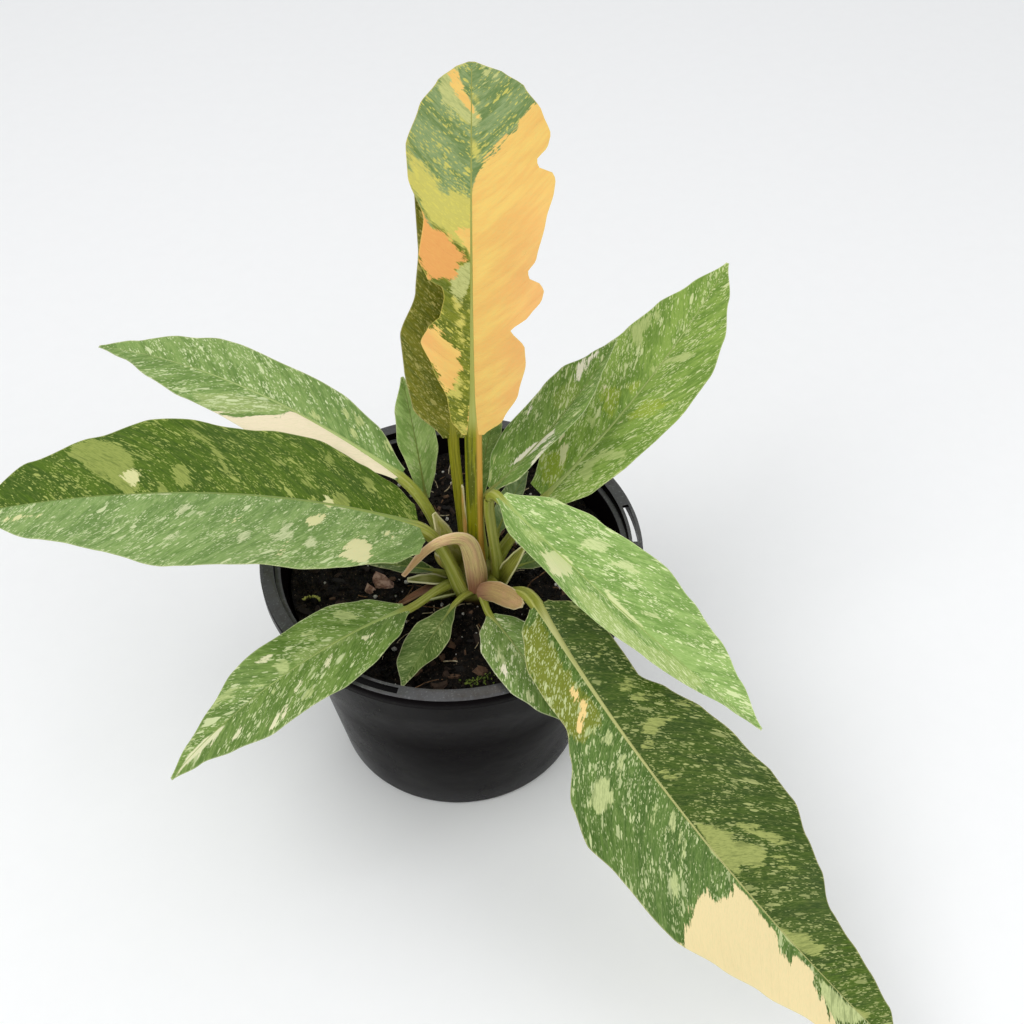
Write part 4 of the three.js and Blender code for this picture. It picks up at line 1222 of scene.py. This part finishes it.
def stalk_material(name, skin, seed):
    """The stalk's and rib's own material: the stem skin group with this leaf's colours."""
    surface = Surface(name + "_stalk", 0.38, specular=0.2, coat=0.03, coat_roughness=0.3)
    skinned = group(surface, stem_skin, along=surface.attribute("along"), across=surface.attribute("across"),
                    seed=seed, main=skin.stalk, stripe=skin.stripe, rib=skin.rib, margin=skin.margin,
                    margin_share=skin.margin_share)
    return surface.finish(skinned.colour, skinned.height, 0.0005)


def sheath_material(name, sheath, seed):
    """Papery bract: fine lengthwise fibres, a tinted foot, a blush and a thin pale rim."""
    nodes = Surface(name + "_skin", 0.46, specular=0.4)
    along, across = nodes.attribute("along"), nodes.attribute("across")
    fibre = nodes.grain(along, across, seed, 0.1, 2.6, 3.0, 0.6)
    cloud = nodes.grain(along, across, seed, 0.12, 0.35)
    spots = nodes.grain(along, across, seed, 0.9, 1.4, 3.0, 0.6)
    tone = nodes.mix(fibre.up(0.38, 0.66) * 0.5, sheath.main, sheath.foot)
    tone = nodes.mix(cloud.up(0.42, 0.6) * sheath.blush_share, tone, sheath.blush)
    tone = nodes.mix(along.down(1.0, 13.0), tone, sheath.foot)
    if sheath.tip:
        tone = nodes.mix(nodes.attribute("end").down(4.0, 22.0) * 0.8, tone, sheath.tip)
    tone = nodes.mix(spots.up(0.62, 0.72) * 0.3, tone, sheath.foot)
    tone = nodes.mix(nodes.attribute("edge").down(0.15, 0.6) * 0.7, tone, sheath.rim)
    return nodes.finish(tone, fibre, 0.0005, fibre * 0.2 + 0.36)


# Settings that a user may change


class PotSettings(bpy.types.PropertyGroup):
    """Sizes and finish of the pot."""

    height: FloatProperty(name="Height", description="Base to rim", default=POT_HIGH.z, unit="LENGTH")
    rim_radius: FloatProperty(name="Rim radius", description="Outside radius of the rim",
                              default=POT_HIGH.x, unit="LENGTH")
    colour: FloatVectorProperty(name="Plastic", description="Colour of the moulded plastic", size=4,
                                default=rgb(9, 6, 7), subtype="COLOR")
    gloss: FloatProperty(name="Roughness", description="Roughness of clean plastic", default=0.2,
                         subtype="FACTOR")


class SoilSettings(bpy.types.PropertyGroup):
    """What the potting mix is made of."""

    colour: FloatVectorProperty(name="Mix", description="Colour of the damp mix", size=4,
                                default=rgb(15, 13, 10), subtype="COLOR")
    crumb_count: IntProperty(name="Crumbs", description="Number of loose crumbs", default=1500)
    bark_count: IntProperty(name="Bark", description="Number of bark chips", default=300)
    perlite_count: IntProperty(name="Perlite", description="Number of perlite grains", default=130)
    fibre_count: IntProperty(name="Fibres", description="Number of fibres", default=110)
    seed: IntProperty(name="Seed", description="Seed of the scattering", default=5)


class LeafSettings(bpy.types.PropertyGroup):
    """How finely and how thick the blades are built."""

    blade_thickness: FloatProperty(name="Blade thickness", description="Thickness at mid blade",
                                   default=0.0006, unit="LENGTH", precision=5)
    row_spacing: FloatProperty(name="Mesh spacing", description="Distance between mesh rows",
                               default=0.0014, unit="LENGTH", precision=5)
    vein_spacing: FloatProperty(name="Vein spacing", description="Distance between side veins",
                                default=0.0048, unit="LENGTH", precision=5)
    vein_relief: FloatProperty(name="Vein relief", description="Height of the pleats between veins",
                               default=0.00007, unit="LENGTH", precision=5)


class SheathSettings(bpy.types.PropertyGroup):
    """How thick the bracts are."""

    thickness: FloatProperty(name="Thickness", description="Thickness of a bract", default=0.0006,
                             unit="LENGTH", precision=5)


class StageSettings(bpy.types.PropertyGroup):
    """Floor, light and lens."""

    floor: FloatVectorProperty(name="Floor", description="Colour of the floor", size=4,
                               default=rgb(251, 251, 251), subtype="COLOR")
    key_power: FloatProperty(name="Key light", description="Power of the main soft light", default=4.4,
                             unit="POWER")
    fill_power: FloatProperty(name="Fill light", description="Power of the fill light", default=1.9,
                              unit="POWER")
    sky: FloatProperty(name="Sky", description="Strength of the even light from all round", default=0.77)
    lens: FloatProperty(name="Lens", description="Focal length", default=43.945, unit="CAMERA")


# Pot

FLOOR_HEIGHT = 4.2
CHANNEL_HEIGHT = 2.4
DRAIN_RING = 34
DRAIN_RADIUS = 4.5
DRAIN_BAND = (26, 42)
SLOT_BAND = (71.9, 74.5)
SLOT_AZIMUTHS = (4, 124, 244)
SLOT_ARC = 16
POT_STEPS = 180


def inner_radius(z):
    """The pot's inner radius at a height."""
    return lerp(52.4, 67.6, (z - FLOOR_HEIGHT) / 99.2)


def pot_outline(height, rim):
    """The pot's section from the middle of its underside, over the rim, to the middle of its floor."""
    throat = rim - 5.6
    corner = inner_radius(FLOOR_HEIGHT + 2)
    slot_in, slot_out = SLOT_BAND
    drain_in, drain_out = DRAIN_BAND
    return [
        (0, 0), (22, 0), (24, CHANNEL_HEIGHT), (drain_in, CHANNEL_HEIGHT), (drain_out, CHANNEL_HEIGHT),
        (45, CHANNEL_HEIGHT), (47, 0), (52.6, 0), (53.4, 0.4), (54, 1.4), (61.6, height / 2),
        (rim - 6.8, height - 7.5), (throat + 1.2, height - 5.5), (throat + 1.2, height - 1.5),
        (slot_in, height - 1.5), (slot_out, height - 1.5), (rim - 1.3, height - 1.5),
        (rim - 1.3, height - 5.1), (rim - 1, height - 5.4), (rim - 0.3, height - 5.4), (rim, height - 5.1),
        (rim, height - 0.7), (rim - 0.2, height - 0.2), (rim - 0.7, height), (slot_out, height),
        (slot_in, height), (throat + 0.7, height), (throat + 0.2, height - 0.2), (throat, height - 0.7),
        (throat, height - 3.6), (throat - 1.9, height - 3.6), (throat - 2.4, height - 4.1),
        (lerp(corner, throat - 2.4, 0.5), height / 2), (corner, FLOOR_HEIGHT + 2),
        (corner - 0.6, FLOOR_HEIGHT + 0.6), (corner - 2, FLOOR_HEIGHT), (drain_out, FLOOR_HEIGHT),
        (drain_in, FLOOR_HEIGHT), (0, FLOOR_HEIGHT),
    ]


def open_faces(bm, test):
    """Deletes the faces whose middle passes a test on radius, height and azimuth."""
    chosen = []
    for face in bm.faces:
        middle = face.calc_center_median() / MM
        radius = math.hypot(middle.x, middle.y)
        if test(radius, middle.z, math.degrees(math.atan2(middle.y, middle.x))):
            chosen.append(face)
    bmesh.ops.delete(bm, geom=chosen, context="FACES")


def cut_slots(bm, height):
    """The slots through the flange for a wire hanger, each with its walls."""
    for azimuth in SLOT_AZIMUTHS:
        def in_slot(radius, z, angle, middle=azimuth):
            apart = abs((angle - middle + 180) % 360 - 180)
            return SLOT_BAND[0] < radius < SLOT_BAND[1] and z > height - 1.6 and apart < SLOT_ARC / 2
        open_faces(bm, in_slot)
        walls = [edge for edge in bm.edges if edge.is_boundary]
        bmesh.ops.bridge_loops(bm, edges=walls)


def cut_drains(bm):
    """The drain holes through the floor: the ring that holds them is filled again round circles."""
    open_faces(bm, lambda radius, z, angle: DRAIN_BAND[0] < radius < DRAIN_BAND[1] and z < FLOOR_HEIGHT + 0.1)
    loops = [edge for edge in bm.edges if edge.is_boundary]
    rims = {level: [edge for edge in loops if abs(edge.verts[0].co.z / MM - level) < 0.1]
            for level in (CHANNEL_HEIGHT, FLOOR_HEIGHT)}
    holes = []
    for level, edges in rims.items():
        for index in range(6):
            spot = direction(index * 60, 0) * DRAIN_RING + UP * level
            ring = bmesh.ops.create_circle(bm, radius=DRAIN_RADIUS * MM, segments=36,
                                           matrix=Matrix.Translation(spot * MM))["verts"]
            circle = list({edge for vert in ring for edge in vert.link_edges})
            edges = edges + circle
            holes.append((index, circle))
        bmesh.ops.triangle_fill(bm, use_beauty=True, use_dissolve=False, edges=edges)
    for index in range(6):
        pair = [edge for place, circle in holes if place == index for edge in circle]
        bmesh.ops.bridge_loops(bm, edges=pair)


def pot_material(settings):
    """Glossy moulded plastic: painted grey sheen with faint smears and dust on what faces up, and a dulled
    edge.
    """
    nodes = Surface("pot_gloss", settings.gloss, specular=0.012, coat_roughness=0.12)
    place = nodes.place()
    upward = nodes.height_of(nodes.add("ShaderNodeNewGeometry", {}, "Normal")).up(0.6, 0.95)
    smear = nodes.noise(place, 34.0, 4.0, 0.6)
    scuff = nodes.noise(nodes.scaled(place, (1.0, 1.0, 9.0)), 120.0, 4.0, 0.7).up(0.6, 0.72)
    dust = nodes.noise(place, 1100.0, 2.0, 0.6).up(0.56, 0.7)
    grime = nodes.noise(place, 260.0, 4.0, 0.65).up(0.45, 0.7)
    # Painted sheen: what faces up is greyed evenly, standing in for the sky's reflection on the glossy top,
    # mottled by smears.
    smeared_sheen = upward * (smear * 0.26 + 0.11)
    low = nodes.height_of(place).down(0.001, 0.016) * 0.1
    share = smeared_sheen + dust * (upward * 0.162 + 0.003) + low + scuff * 0.007
    colour = nodes.mix(share, tuple(settings.colour), rgb(150, 150, 152))
    colour = nodes.mix(upward * grime * 0.3, colour, rgb(52, 42, 32))
    nodes.feed(nodes.shader["Coat Weight"], upward * 0.5)
    rough = smear.up(0.35, 0.75) * 0.1 + settings.gloss + scuff * 0.12 + upward * 0.14
    relief = nodes.noise(place, 700.0) * 0.03 + nodes.noise(place, 48.0)
    return nodes.finish(colour, relief, 0.0004, rough)


class PLANT_OT_pot(bpy.types.Operator):
    """Build the moulded nursery pot with its flange, hanger slots and drain holes"""

    bl_idname = "plant.pot"
    bl_label = "Pot"

    def execute(self, context):
        settings = context.scene.plant_pot
        height, rim = settings.height / MM, settings.rim_radius / MM
        bm = bmesh.new()
        spin_outline(bm, pot_outline(height, rim), (0, 0), POT_STEPS)
        cut_slots(bm, height)
        cut_drains(bm)
        bmesh.ops.recalc_face_normals(bm, faces=bm.faces[:])
        new_piece("pot_detail", bm, [pot_material(settings)], ["pot"], crease=46)
        return {"FINISHED"}


# Soil

SOIL_EDGE = 65.4
BARK_TONES = (rgb(58, 42, 30), rgb(34, 26, 20), rgb(104, 78, 58), rgb(24, 19, 15), rgb(46, 34, 25))
BARK_SHADE = 0.55
MOSS_COUNT = 70


def soil_height(x, y):
    """The soil's broad relief, as in the CAD model."""
    ripple = math.sin(x * 0.31 + 1.2) * math.cos(y * 0.27) + 0.6 * math.sin(x * 0.13 - y * 0.19 + 2.1)
    return SOIL_LEVEL + SOIL_RELIEF * ripple


def crumbly_height(x, y):
    """The broad relief with the lumps and pits of loose mix on it."""
    lumps = 0.9 * noise.noise(Vector((x * 0.22, y * 0.22, 1.7)))
    lumps += 0.7 * noise.noise(Vector((x * 0.6, y * 0.6, 4.1)))
    return soil_height(x, y) + lumps + 0.4 * noise.noise(Vector((x * 1.3, y * 1.3, 8.3))) - 0.3


def soil_bmesh():
    """The plug of mix as one closed skin, from the middle of the crown's hole out and down."""
    rings = 52
    rows = [(0, 0, SOIL_HOLE_FOOT), (0, 1, SOIL_HOLE_FOOT)]
    rows += [(ring / rings, 1, None) for ring in range(rings + 1)]
    rows += [(1, 1, SOIL_LEVEL - 5), (1, 0.815, SOIL_FOOT), (1, 0, SOIL_FOOT)]
    bm = bmesh.new()

    def place(vert, along, around):
        out, share, height = rows[round(along * (len(rows) - 1))]
        centre = Vector((*CROWN_AXIS, 0)) * (1 - out)
        spot = centre + direction(around * 360, 0) * (lerp(SOIL_HOLE_RADIUS, SOIL_EDGE, out) * share)
        spot.z = crumbly_height(spot.x, spot.y) if height is None else height
        vert.co = spot * MM

    add_tube(bm, len(rows) - 1, 210, place, 0)
    return bm


def scatter_spot(random):
    """A place on the soil's surface, clear of the crown and of the wall."""
    while True:
        x, y = random.uniform(-64, 64), random.uniform(-64, 64)
        if math.hypot(x, y) < 63.5 and math.hypot(x - CROWN_AXIS[0], y - CROWN_AXIS[1]) > 12.5:
            return Vector((x, y, crumbly_height(x, y)))


def turned(random, spot, size, tilt=0.5):
    """A matrix that scales, turns and puts a bit of mix, in metres."""
    turn = (Matrix.Rotation(random.uniform(0, math.tau), 4, "Z")
            @ Matrix.Rotation(random.uniform(-tilt, tilt), 4, "X")
            @ Matrix.Rotation(random.uniform(-tilt, tilt), 4, "Y"))
    return Matrix.Translation(spot * MM) @ turn @ Matrix.Diagonal((*(Vector(size) * MM), 1))


def roughen(verts, reach, random):
    """Moves each vertex a little, so that no two bits look the same."""
    for vert in verts:
        vert.co += Vector([random.uniform(-1, 1) for _axis in range(3)]) * reach * MM


def paint(verts, material):
    """Gives the faces round some vertices their material."""
    for face in {face for vert in verts for face in vert.link_faces}:
        face.material_index = material


def add_lump(bm, random, spot, size, material, detail=1, reach=0.14):
    """A rounded grain with a rough skin."""
    made = bmesh.ops.create_icosphere(bm, subdivisions=detail, radius=0.5,
                                      matrix=turned(random, spot, size, 3))["verts"]
    roughen(made, min(size) * reach, random)
    paint(made, material)


def add_chip(bm, random, spot, size, material, tilt=0.45):
    """A splinter of bark: a flat prism with broken edges."""
    made = bmesh.ops.create_cone(bm, cap_ends=True, segments=random.choice((5, 6, 7)), radius1=0.55,
                                 radius2=random.uniform(0.36, 0.5), depth=1,
                                 matrix=turned(random, spot, size, tilt))["verts"]
    roughen(made, min(size) * 0.28, random)
    paint(made, material)


def add_fibre(bm, random, spot, material):
    """A thin bent root or coir fibre lying on the mix."""
    heading = random.uniform(0, 360)
    reach = random.uniform(5, 17)
    bend = random.uniform(-70, 70)
    thick = random.uniform(0.16, 0.3)
    points = [spot + UP * 0.3]
    for step in range(8):
        onward = direction(heading + bend * step / 8, random.uniform(-10, 12))
        points.append(points[-1] + onward * (reach / 8))
    for point in points:
        point.z = max(point.z, crumbly_height(point.x, point.y) + 0.15)

    def place(vert, along, around):
        index = round(along * 8)
        ahead = points[min(index + 1, 8)] - points[max(index - 1, 0)]
        side = ahead.cross(UP).normalized()
        turn = around * math.tau
        vert.co = (points[index] + (side * math.cos(turn) + UP * math.sin(turn)) * thick) * MM

    if all(math.hypot(point.x, point.y) < 65 for point in points):
        add_tube(bm, 8, 5, place, material)


def speckled_material(name, dark, light, scale, roughness, grain=(1.0, 1.0, 1.0), relief=0.0006):
    """A dull natural surface, mottled between two tones."""
    nodes = Surface(name, roughness, specular=0.3)
    mottle = nodes.noise(nodes.scaled(nodes.place(), grain), scale, 4.0, 0.65)
    colour = nodes.mix(mottle.up(0.36, 0.66), dark, light)
    return nodes.finish(colour, mottle, relief, mottle * 0.2 + (roughness - 0.1))


def soil_material(settings):
    """Damp mix: near black crumbs, brown fibre dust and a few pale specks."""
    nodes = Surface("potting_mix", 0.85, specular=0.15)
    place = nodes.place()
    crumb = nodes.noise(place, 520.0, 5.0, 0.7)
    lumps = nodes.add("ShaderNodeTexVoronoi", {"Vector": place, "Scale": 700.0}, "Distance")
    tone = nodes.mix(crumb.up(0.45, 0.72), tuple(settings.colour), rgb(52, 40, 30))
    tone = nodes.mix(lumps.down(0.12, 0.4) * 0.8, tone, rgb(7, 6, 5))
    specks = nodes.noise(place, 1300.0, 2.0, 0.6).up(0.66, 0.72)
    tone = nodes.mix(specks * 0.75, tone, rgb(132, 114, 92))
    return nodes.finish(tone, crumb + lumps * 0.6, 0.0016, crumb * 0.4 + 0.5)


def crumbs_bmesh(random, count):
    """Loose crumbs of the mix."""
    bm = bmesh.new()
    for _index in range(count):
        size = random.uniform(0.8, 2.6)
        shape = (size * random.uniform(0.8, 1.4), size, size * random.uniform(0.6, 0.9))
        add_lump(bm, random, scatter_spot(random) + UP * size * 0.1, shape, 0, 1, 0.2)
    return bm


def bark_bmesh(random, count):
    """Bark chips in every tone, and two bigger pink ones on the left."""
    bm = bmesh.new()
    for index in range(count):
        long = random.uniform(1.8, 7)
        size = (long, long * random.uniform(0.3, 0.65), random.uniform(0.7, 1.6))
        add_chip(bm, random, scatter_spot(random) + UP * 0.4, size, index % len(BARK_TONES))
    pink = len(BARK_TONES)
    add_chip(bm, random, Vector((-28.5, -7.8, 95.6)), (8.6, 6.4, 2.6), pink, 0.2)
    add_chip(bm, random, Vector((-33.5, -10.5, 95)), (4.5, 3.2, 2), pink, 0.4)
    return bm


def bark_materials():
    """One material for each tone of bark, then the pink one."""
    made = []
    for index, tone in enumerate(BARK_TONES):
        dark = (*(BARK_SHADE * channel for channel in tone[:3]), 1.0)
        made.append(speckled_material(f"bark_{index}", dark, tone, 340.0, 0.8, (1.0, 0.35, 1.6)))
    return [*made, speckled_material("bark_pink", rgb(118, 84, 68), rgb(186, 152, 134), 420.0, 0.75)]


def perlite_bmesh(random, count):
    """White grains of perlite."""
    bm = bmesh.new()
    for _index in range(count):
        size = random.uniform(0.5, 1.9)
        add_lump(bm, random, scatter_spot(random) + UP * size * 0.25,
                 (size * random.uniform(0.8, 1.3), size, size * 0.85), 0, 2, 0.12)
    return bm


def fibres_bmesh(random, count):
    """Brown and pale fibres in turn."""
    bm = bmesh.new()
    for index in range(count):
        add_fibre(bm, random, scatter_spot(random), index % 2)
    return bm


def moss_bmesh(random):
    """A tuft of moss at the front and a curled scrap of leaf on the left."""
    bm = bmesh.new()
    for _index in range(MOSS_COUNT):
        spot = Vector((random.gauss(7.3, 3.2), random.gauss(-58.5, 1.3), 0))
        spot.z = crumbly_height(spot.x, spot.y) + random.uniform(0.2, 0.9)
        size = random.uniform(0.5, 1.3)
        add_lump(bm, random, spot, (size, size * 0.6, size * 0.8), 0, 1, 0.25)
    for step in range(9):
        turn = math.radians(-70 + step * 20)
        spot = Vector((-56.5 + 3.2 * math.sin(turn), -15.7 + 3.2 * math.cos(turn) * 0.6, 96.4))
        add_lump(bm, random, spot, (1.8, 1.2, 0.9), 1, 1, 0.1)
    return bm


class PLANT_OT_soil(bpy.types.Operator):
    """Build the crumbly potting mix with bark, perlite, fibres and a little moss"""

    bl_idname = "plant.soil"
    bl_label = "Soil"

    def execute(self, context):
        settings = context.scene.plant_soil
        random = Random(settings.seed)
        new_piece("soil_detail", soil_bmesh(), [soil_material(settings)], ["soil"], crease=80)
        crumbs = crumbs_bmesh(random, settings.crumb_count)
        new_piece("soil_crumbs", crumbs, [soil_material(settings)], crease=80)
        bark = bark_bmesh(random, settings.bark_count)
        new_piece("bark_chips", bark, bark_materials(), crease=35)
        perlite = speckled_material("perlite", rgb(168, 162, 150), rgb(232, 230, 224), 1600.0, 0.8)
        new_piece("perlite_grains", perlite_bmesh(random, settings.perlite_count), [perlite], crease=80)
        new_piece("root_fibres", fibres_bmesh(random, settings.fibre_count), [
            speckled_material("fibre_brown", rgb(70, 48, 30), rgb(130, 96, 62), 500.0, 0.7, relief=0.0002),
            speckled_material("fibre_pale", rgb(140, 122, 92), rgb(196, 184, 152), 500.0, 0.7, relief=0.0002),
        ])
        new_piece("moss_bits", moss_bmesh(random), [
            speckled_material("moss", rgb(58, 74, 24), rgb(122, 138, 56), 900.0, 0.85),
            speckled_material("leaf_scrap", rgb(138, 144, 62), rgb(190, 188, 104), 500.0, 0.6),
        ])
        return {"FINISHED"}


# Crown, leaves and sheaths

CROWN_STEPS = 52
RING_SPACING = 2.9


def crown_share(height):
    """The crown's radius at a height, as a share of its greatest, from the listed profile."""
    levels = [(level, share) for share, level in CROWN_PROFILE[1:-1]]
    low = ([pair for pair in levels if pair[0] <= height] or levels[:1])[-1]
    high = ([pair for pair in levels if pair[0] >= height] or levels[-1:])[0]
    portion = (height - low[0]) / (high[0] - low[0]) if high[0] > low[0] else 0
    return lerp(low[1], high[1], portion)


def crown_bmesh():
    """The crown: its profile ringed with fine grooves, turned, then made a little uneven."""
    foot, top = CROWN_PROFILE[0][1], CROWN_PROFILE[-1][1]
    outline = [(0, foot)]
    for step in range(CROWN_STEPS + 1):
        height = foot + (top - foot) * step / CROWN_STEPS
        ring = 0.25 * max(0, math.cos(height / RING_SPACING * math.tau)) ** 6
        outline.append((crown_share(height) * CROWN_RADIUS - ring, height))
    bm = bmesh.new()
    spin_outline(bm, [*outline, (0, top)], CROWN_AXIS, 72)
    for vert in bm.verts:
        place = vert.co / MM
        reach = Vector((place.x - CROWN_AXIS[0], place.y - CROWN_AXIS[1], 0))
        if reach.length > 1:
            vert.co -= reach.normalized() * (0.35 * MM * abs(noise.noise(place * 0.35)))
    return bm


def crown_material():
    """Smooth stem skin, mottled, and browner down by the soil."""
    nodes = Surface("crown_skin", 0.42, coat=0.08, coat_roughness=0.3)
    place = nodes.place()
    mottle = nodes.noise(place, 160.0, 3.0, 0.6)
    colour = nodes.mix(mottle.up(0.35, 0.65), rgb(104, 104, 30), rgb(150, 148, 66))
    colour = nodes.mix(nodes.height_of(place).down(0.0935, 0.0975), colour, rgb(70, 52, 30))
    return nodes.finish(colour, mottle, 0.0006)


class PLANT_OT_crown(bpy.types.Operator):
    """Build the short ringed stem that every stalk grows from"""

    bl_idname = "plant.crown"
    bl_label = "Crown"

    def execute(self, context):
        new_piece("crown_detail", crown_bmesh(), [crown_material()], ["crown"])
        return {"FINISHED"}


class PLANT_OT_leaves(bpy.types.Operator):
    """Build every leaf with its stalk, in place of its CAD node"""

    bl_idname = "plant.leaves"
    bl_label = "Leaves"

    def execute(self, context):
        settings = context.scene.plant_leaf
        for seed, (name, leaf) in enumerate(LEAVES.items()):
            materials = [blade_material(name, leaf, seed * 17.3 + 3, settings),
                         stalk_material(name, leaf.skin, seed * 5.1 + 2)]
            bm = leaf_bmesh(leaf, PATCHES.get(name, {}), settings)
            new_piece(name + "_detail", bm, materials, [name])
        return {"FINISHED"}


class PLANT_OT_sheaths(bpy.types.Operator):
    """Build the bracts that stand round the crown, in place of their CAD nodes"""

    bl_idname = "plant.sheaths"
    bl_label = "Sheaths"

    def execute(self, context):
        settings = context.scene.plant_sheath
        for seed, (name, sheath) in enumerate(SHEATHS.items()):
            material = sheath_material(name, sheath, seed * 9.7)
            new_piece(name + "_detail", sheath_bmesh(sheath, settings), [material], [name])
        return {"FINISHED"}


# Stage

CAMERA_PLACE = Vector((0, -0.335803, 0.474751))
CAMERA_RIGHT = Vector((0.99687, -0.07876, -0.00684))
CAMERA_UP = Vector((0.06162, 0.71982, 0.69142))
SENSOR_WIDTH = 36
KEY_PLACE = (-0.55, -0.35, 1.1)
FILL_PLACE = (0.7, -0.5, 0.7)
FLOOR_REACH = 6
SKY_COLOUR = (0.97, 0.985, 1.0, 1.0)


def area_light(name, place, target, size, power):
    """A round soft light that faces its target."""
    light = bpy.data.lights.new(name, "AREA")
    light.shape = "DISK"
    light.size = size
    light.energy = power
    holder = bpy.data.objects.new(name, light)
    holder.location = place
    holder.rotation_euler = (Vector(target) - Vector(place)).to_track_quat("-Z", "Y").to_euler()
    bpy.context.scene.collection.objects.link(holder)


def add_floor(colour):
    """A wide sheet of pale paper under the pot."""
    nodes = Surface("floor_paper", 0.85, specular=0.2)
    grain = nodes.noise(nodes.place(), 90.0, 3.0, 0.6)
    shade = (*(0.97 * channel for channel in colour[:3]), 1.0)
    nodes.feed(nodes.shader["Base Color"], nodes.mix(grain, shade, colour))
    bm = bmesh.new()
    bmesh.ops.create_grid(bm, x_segments=1, y_segments=1, size=FLOOR_REACH)
    mesh = bpy.data.meshes.new("floor")
    bm.to_mesh(mesh)
    bm.free()
    mesh.materials.append(nodes.material)
    floor = bpy.data.objects.new("floor", mesh)
    bpy.context.scene.collection.objects.link(floor)


def add_sky(strength):
    """Even light from all round."""
    world = bpy.data.worlds.new("soft_sky")
    bpy.context.scene.world = world
    world.use_nodes = True
    sky = world.node_tree.nodes["Background"]
    sky.inputs["Color"].default_value = SKY_COLOUR
    sky.inputs["Strength"].default_value = strength


def add_camera(lens):
    """A camera with its own right and up directions."""
    camera = bpy.data.cameras.new("camera")
    camera.sensor_width = SENSOR_WIDTH
    camera.lens = lens
    camera.clip_start = 0.01
    holder = bpy.data.objects.new("camera", camera)
    turn = Matrix((CAMERA_RIGHT, CAMERA_UP, CAMERA_RIGHT.cross(CAMERA_UP))).transposed().to_4x4()
    holder.matrix_world = Matrix.Translation(CAMERA_PLACE) @ turn
    bpy.context.scene.collection.objects.link(holder)
    bpy.context.scene.camera = holder


class PLANT_OT_stage(bpy.types.Operator):
    """Set the floor, the soft lights, the world and the camera"""

    bl_idname = "plant.stage"
    bl_label = "Stage"

    def execute(self, context):
        settings = context.scene.plant_stage
        add_floor(tuple(settings.floor))
        add_sky(settings.sky)
        area_light("key", KEY_PLACE, (0, 0, 0.15), 0.7, settings.key_power)
        area_light("fill", FILL_PLACE, (0, 0, 0.12), 0.6, settings.fill_power)
        add_camera(settings.lens)
        context.scene.view_settings.view_transform = "Standard"
        return {"FINISHED"}


class PLANT_PT_panel(bpy.types.Panel):
    """Lists the sizes, the colours and the pieces"""

    bl_label = "Potted plant"
    bl_idname = "PLANT_PT_panel"
    bl_space_type = "VIEW_3D"
    bl_region_type = "UI"
    bl_category = "Plant"

    def draw(self, context):
        for name, (label, kind) in SETTINGS.items():
            box = self.layout.box()
            box.label(text=label)
            for key in kind.__annotations__:
                box.prop(getattr(context.scene, name), key)
        for operator in OPERATORS:
            self.layout.operator(operator.bl_idname)


SETTINGS = {
    "plant_pot": ("Pot", PotSettings),
    "plant_soil": ("Soil", SoilSettings),
    "plant_leaf": ("Leaves", LeafSettings),
    "plant_sheath": ("Sheaths", SheathSettings),
    "plant_stage": ("Stage", StageSettings),
}
OPERATORS = (PLANT_OT_pot, PLANT_OT_soil, PLANT_OT_crown, PLANT_OT_leaves, PLANT_OT_sheaths, PLANT_OT_stage)


def register():
    """Adds the settings, the operators and the panel."""
    for _label, kind in SETTINGS.values():
        bpy.utils.register_class(kind)
    for kind in (*OPERATORS, PLANT_PT_panel):
        bpy.utils.register_class(kind)
    for name, (_label, kind) in SETTINGS.items():
        setattr(bpy.types.Scene, name, PointerProperty(type=kind))


def unregister():
    """Takes them away again."""
    for name in SETTINGS:
        delattr(bpy.types.Scene, name)
    for kind in (PLANT_PT_panel, *reversed(OPERATORS)):
        bpy.utils.unregister_class(kind)
    for _label, kind in SETTINGS.values():
        bpy.utils.unregister_class(kind)


def main():
    """Builds every piece and the stage."""
    register()
    bpy.ops.plant.pot()
    bpy.ops.plant.soil()
    bpy.ops.plant.crown()
    bpy.ops.plant.leaves()
    bpy.ops.plant.sheaths()
    bpy.ops.plant.stage()
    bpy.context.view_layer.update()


if __name__ == "__main__":
    main()
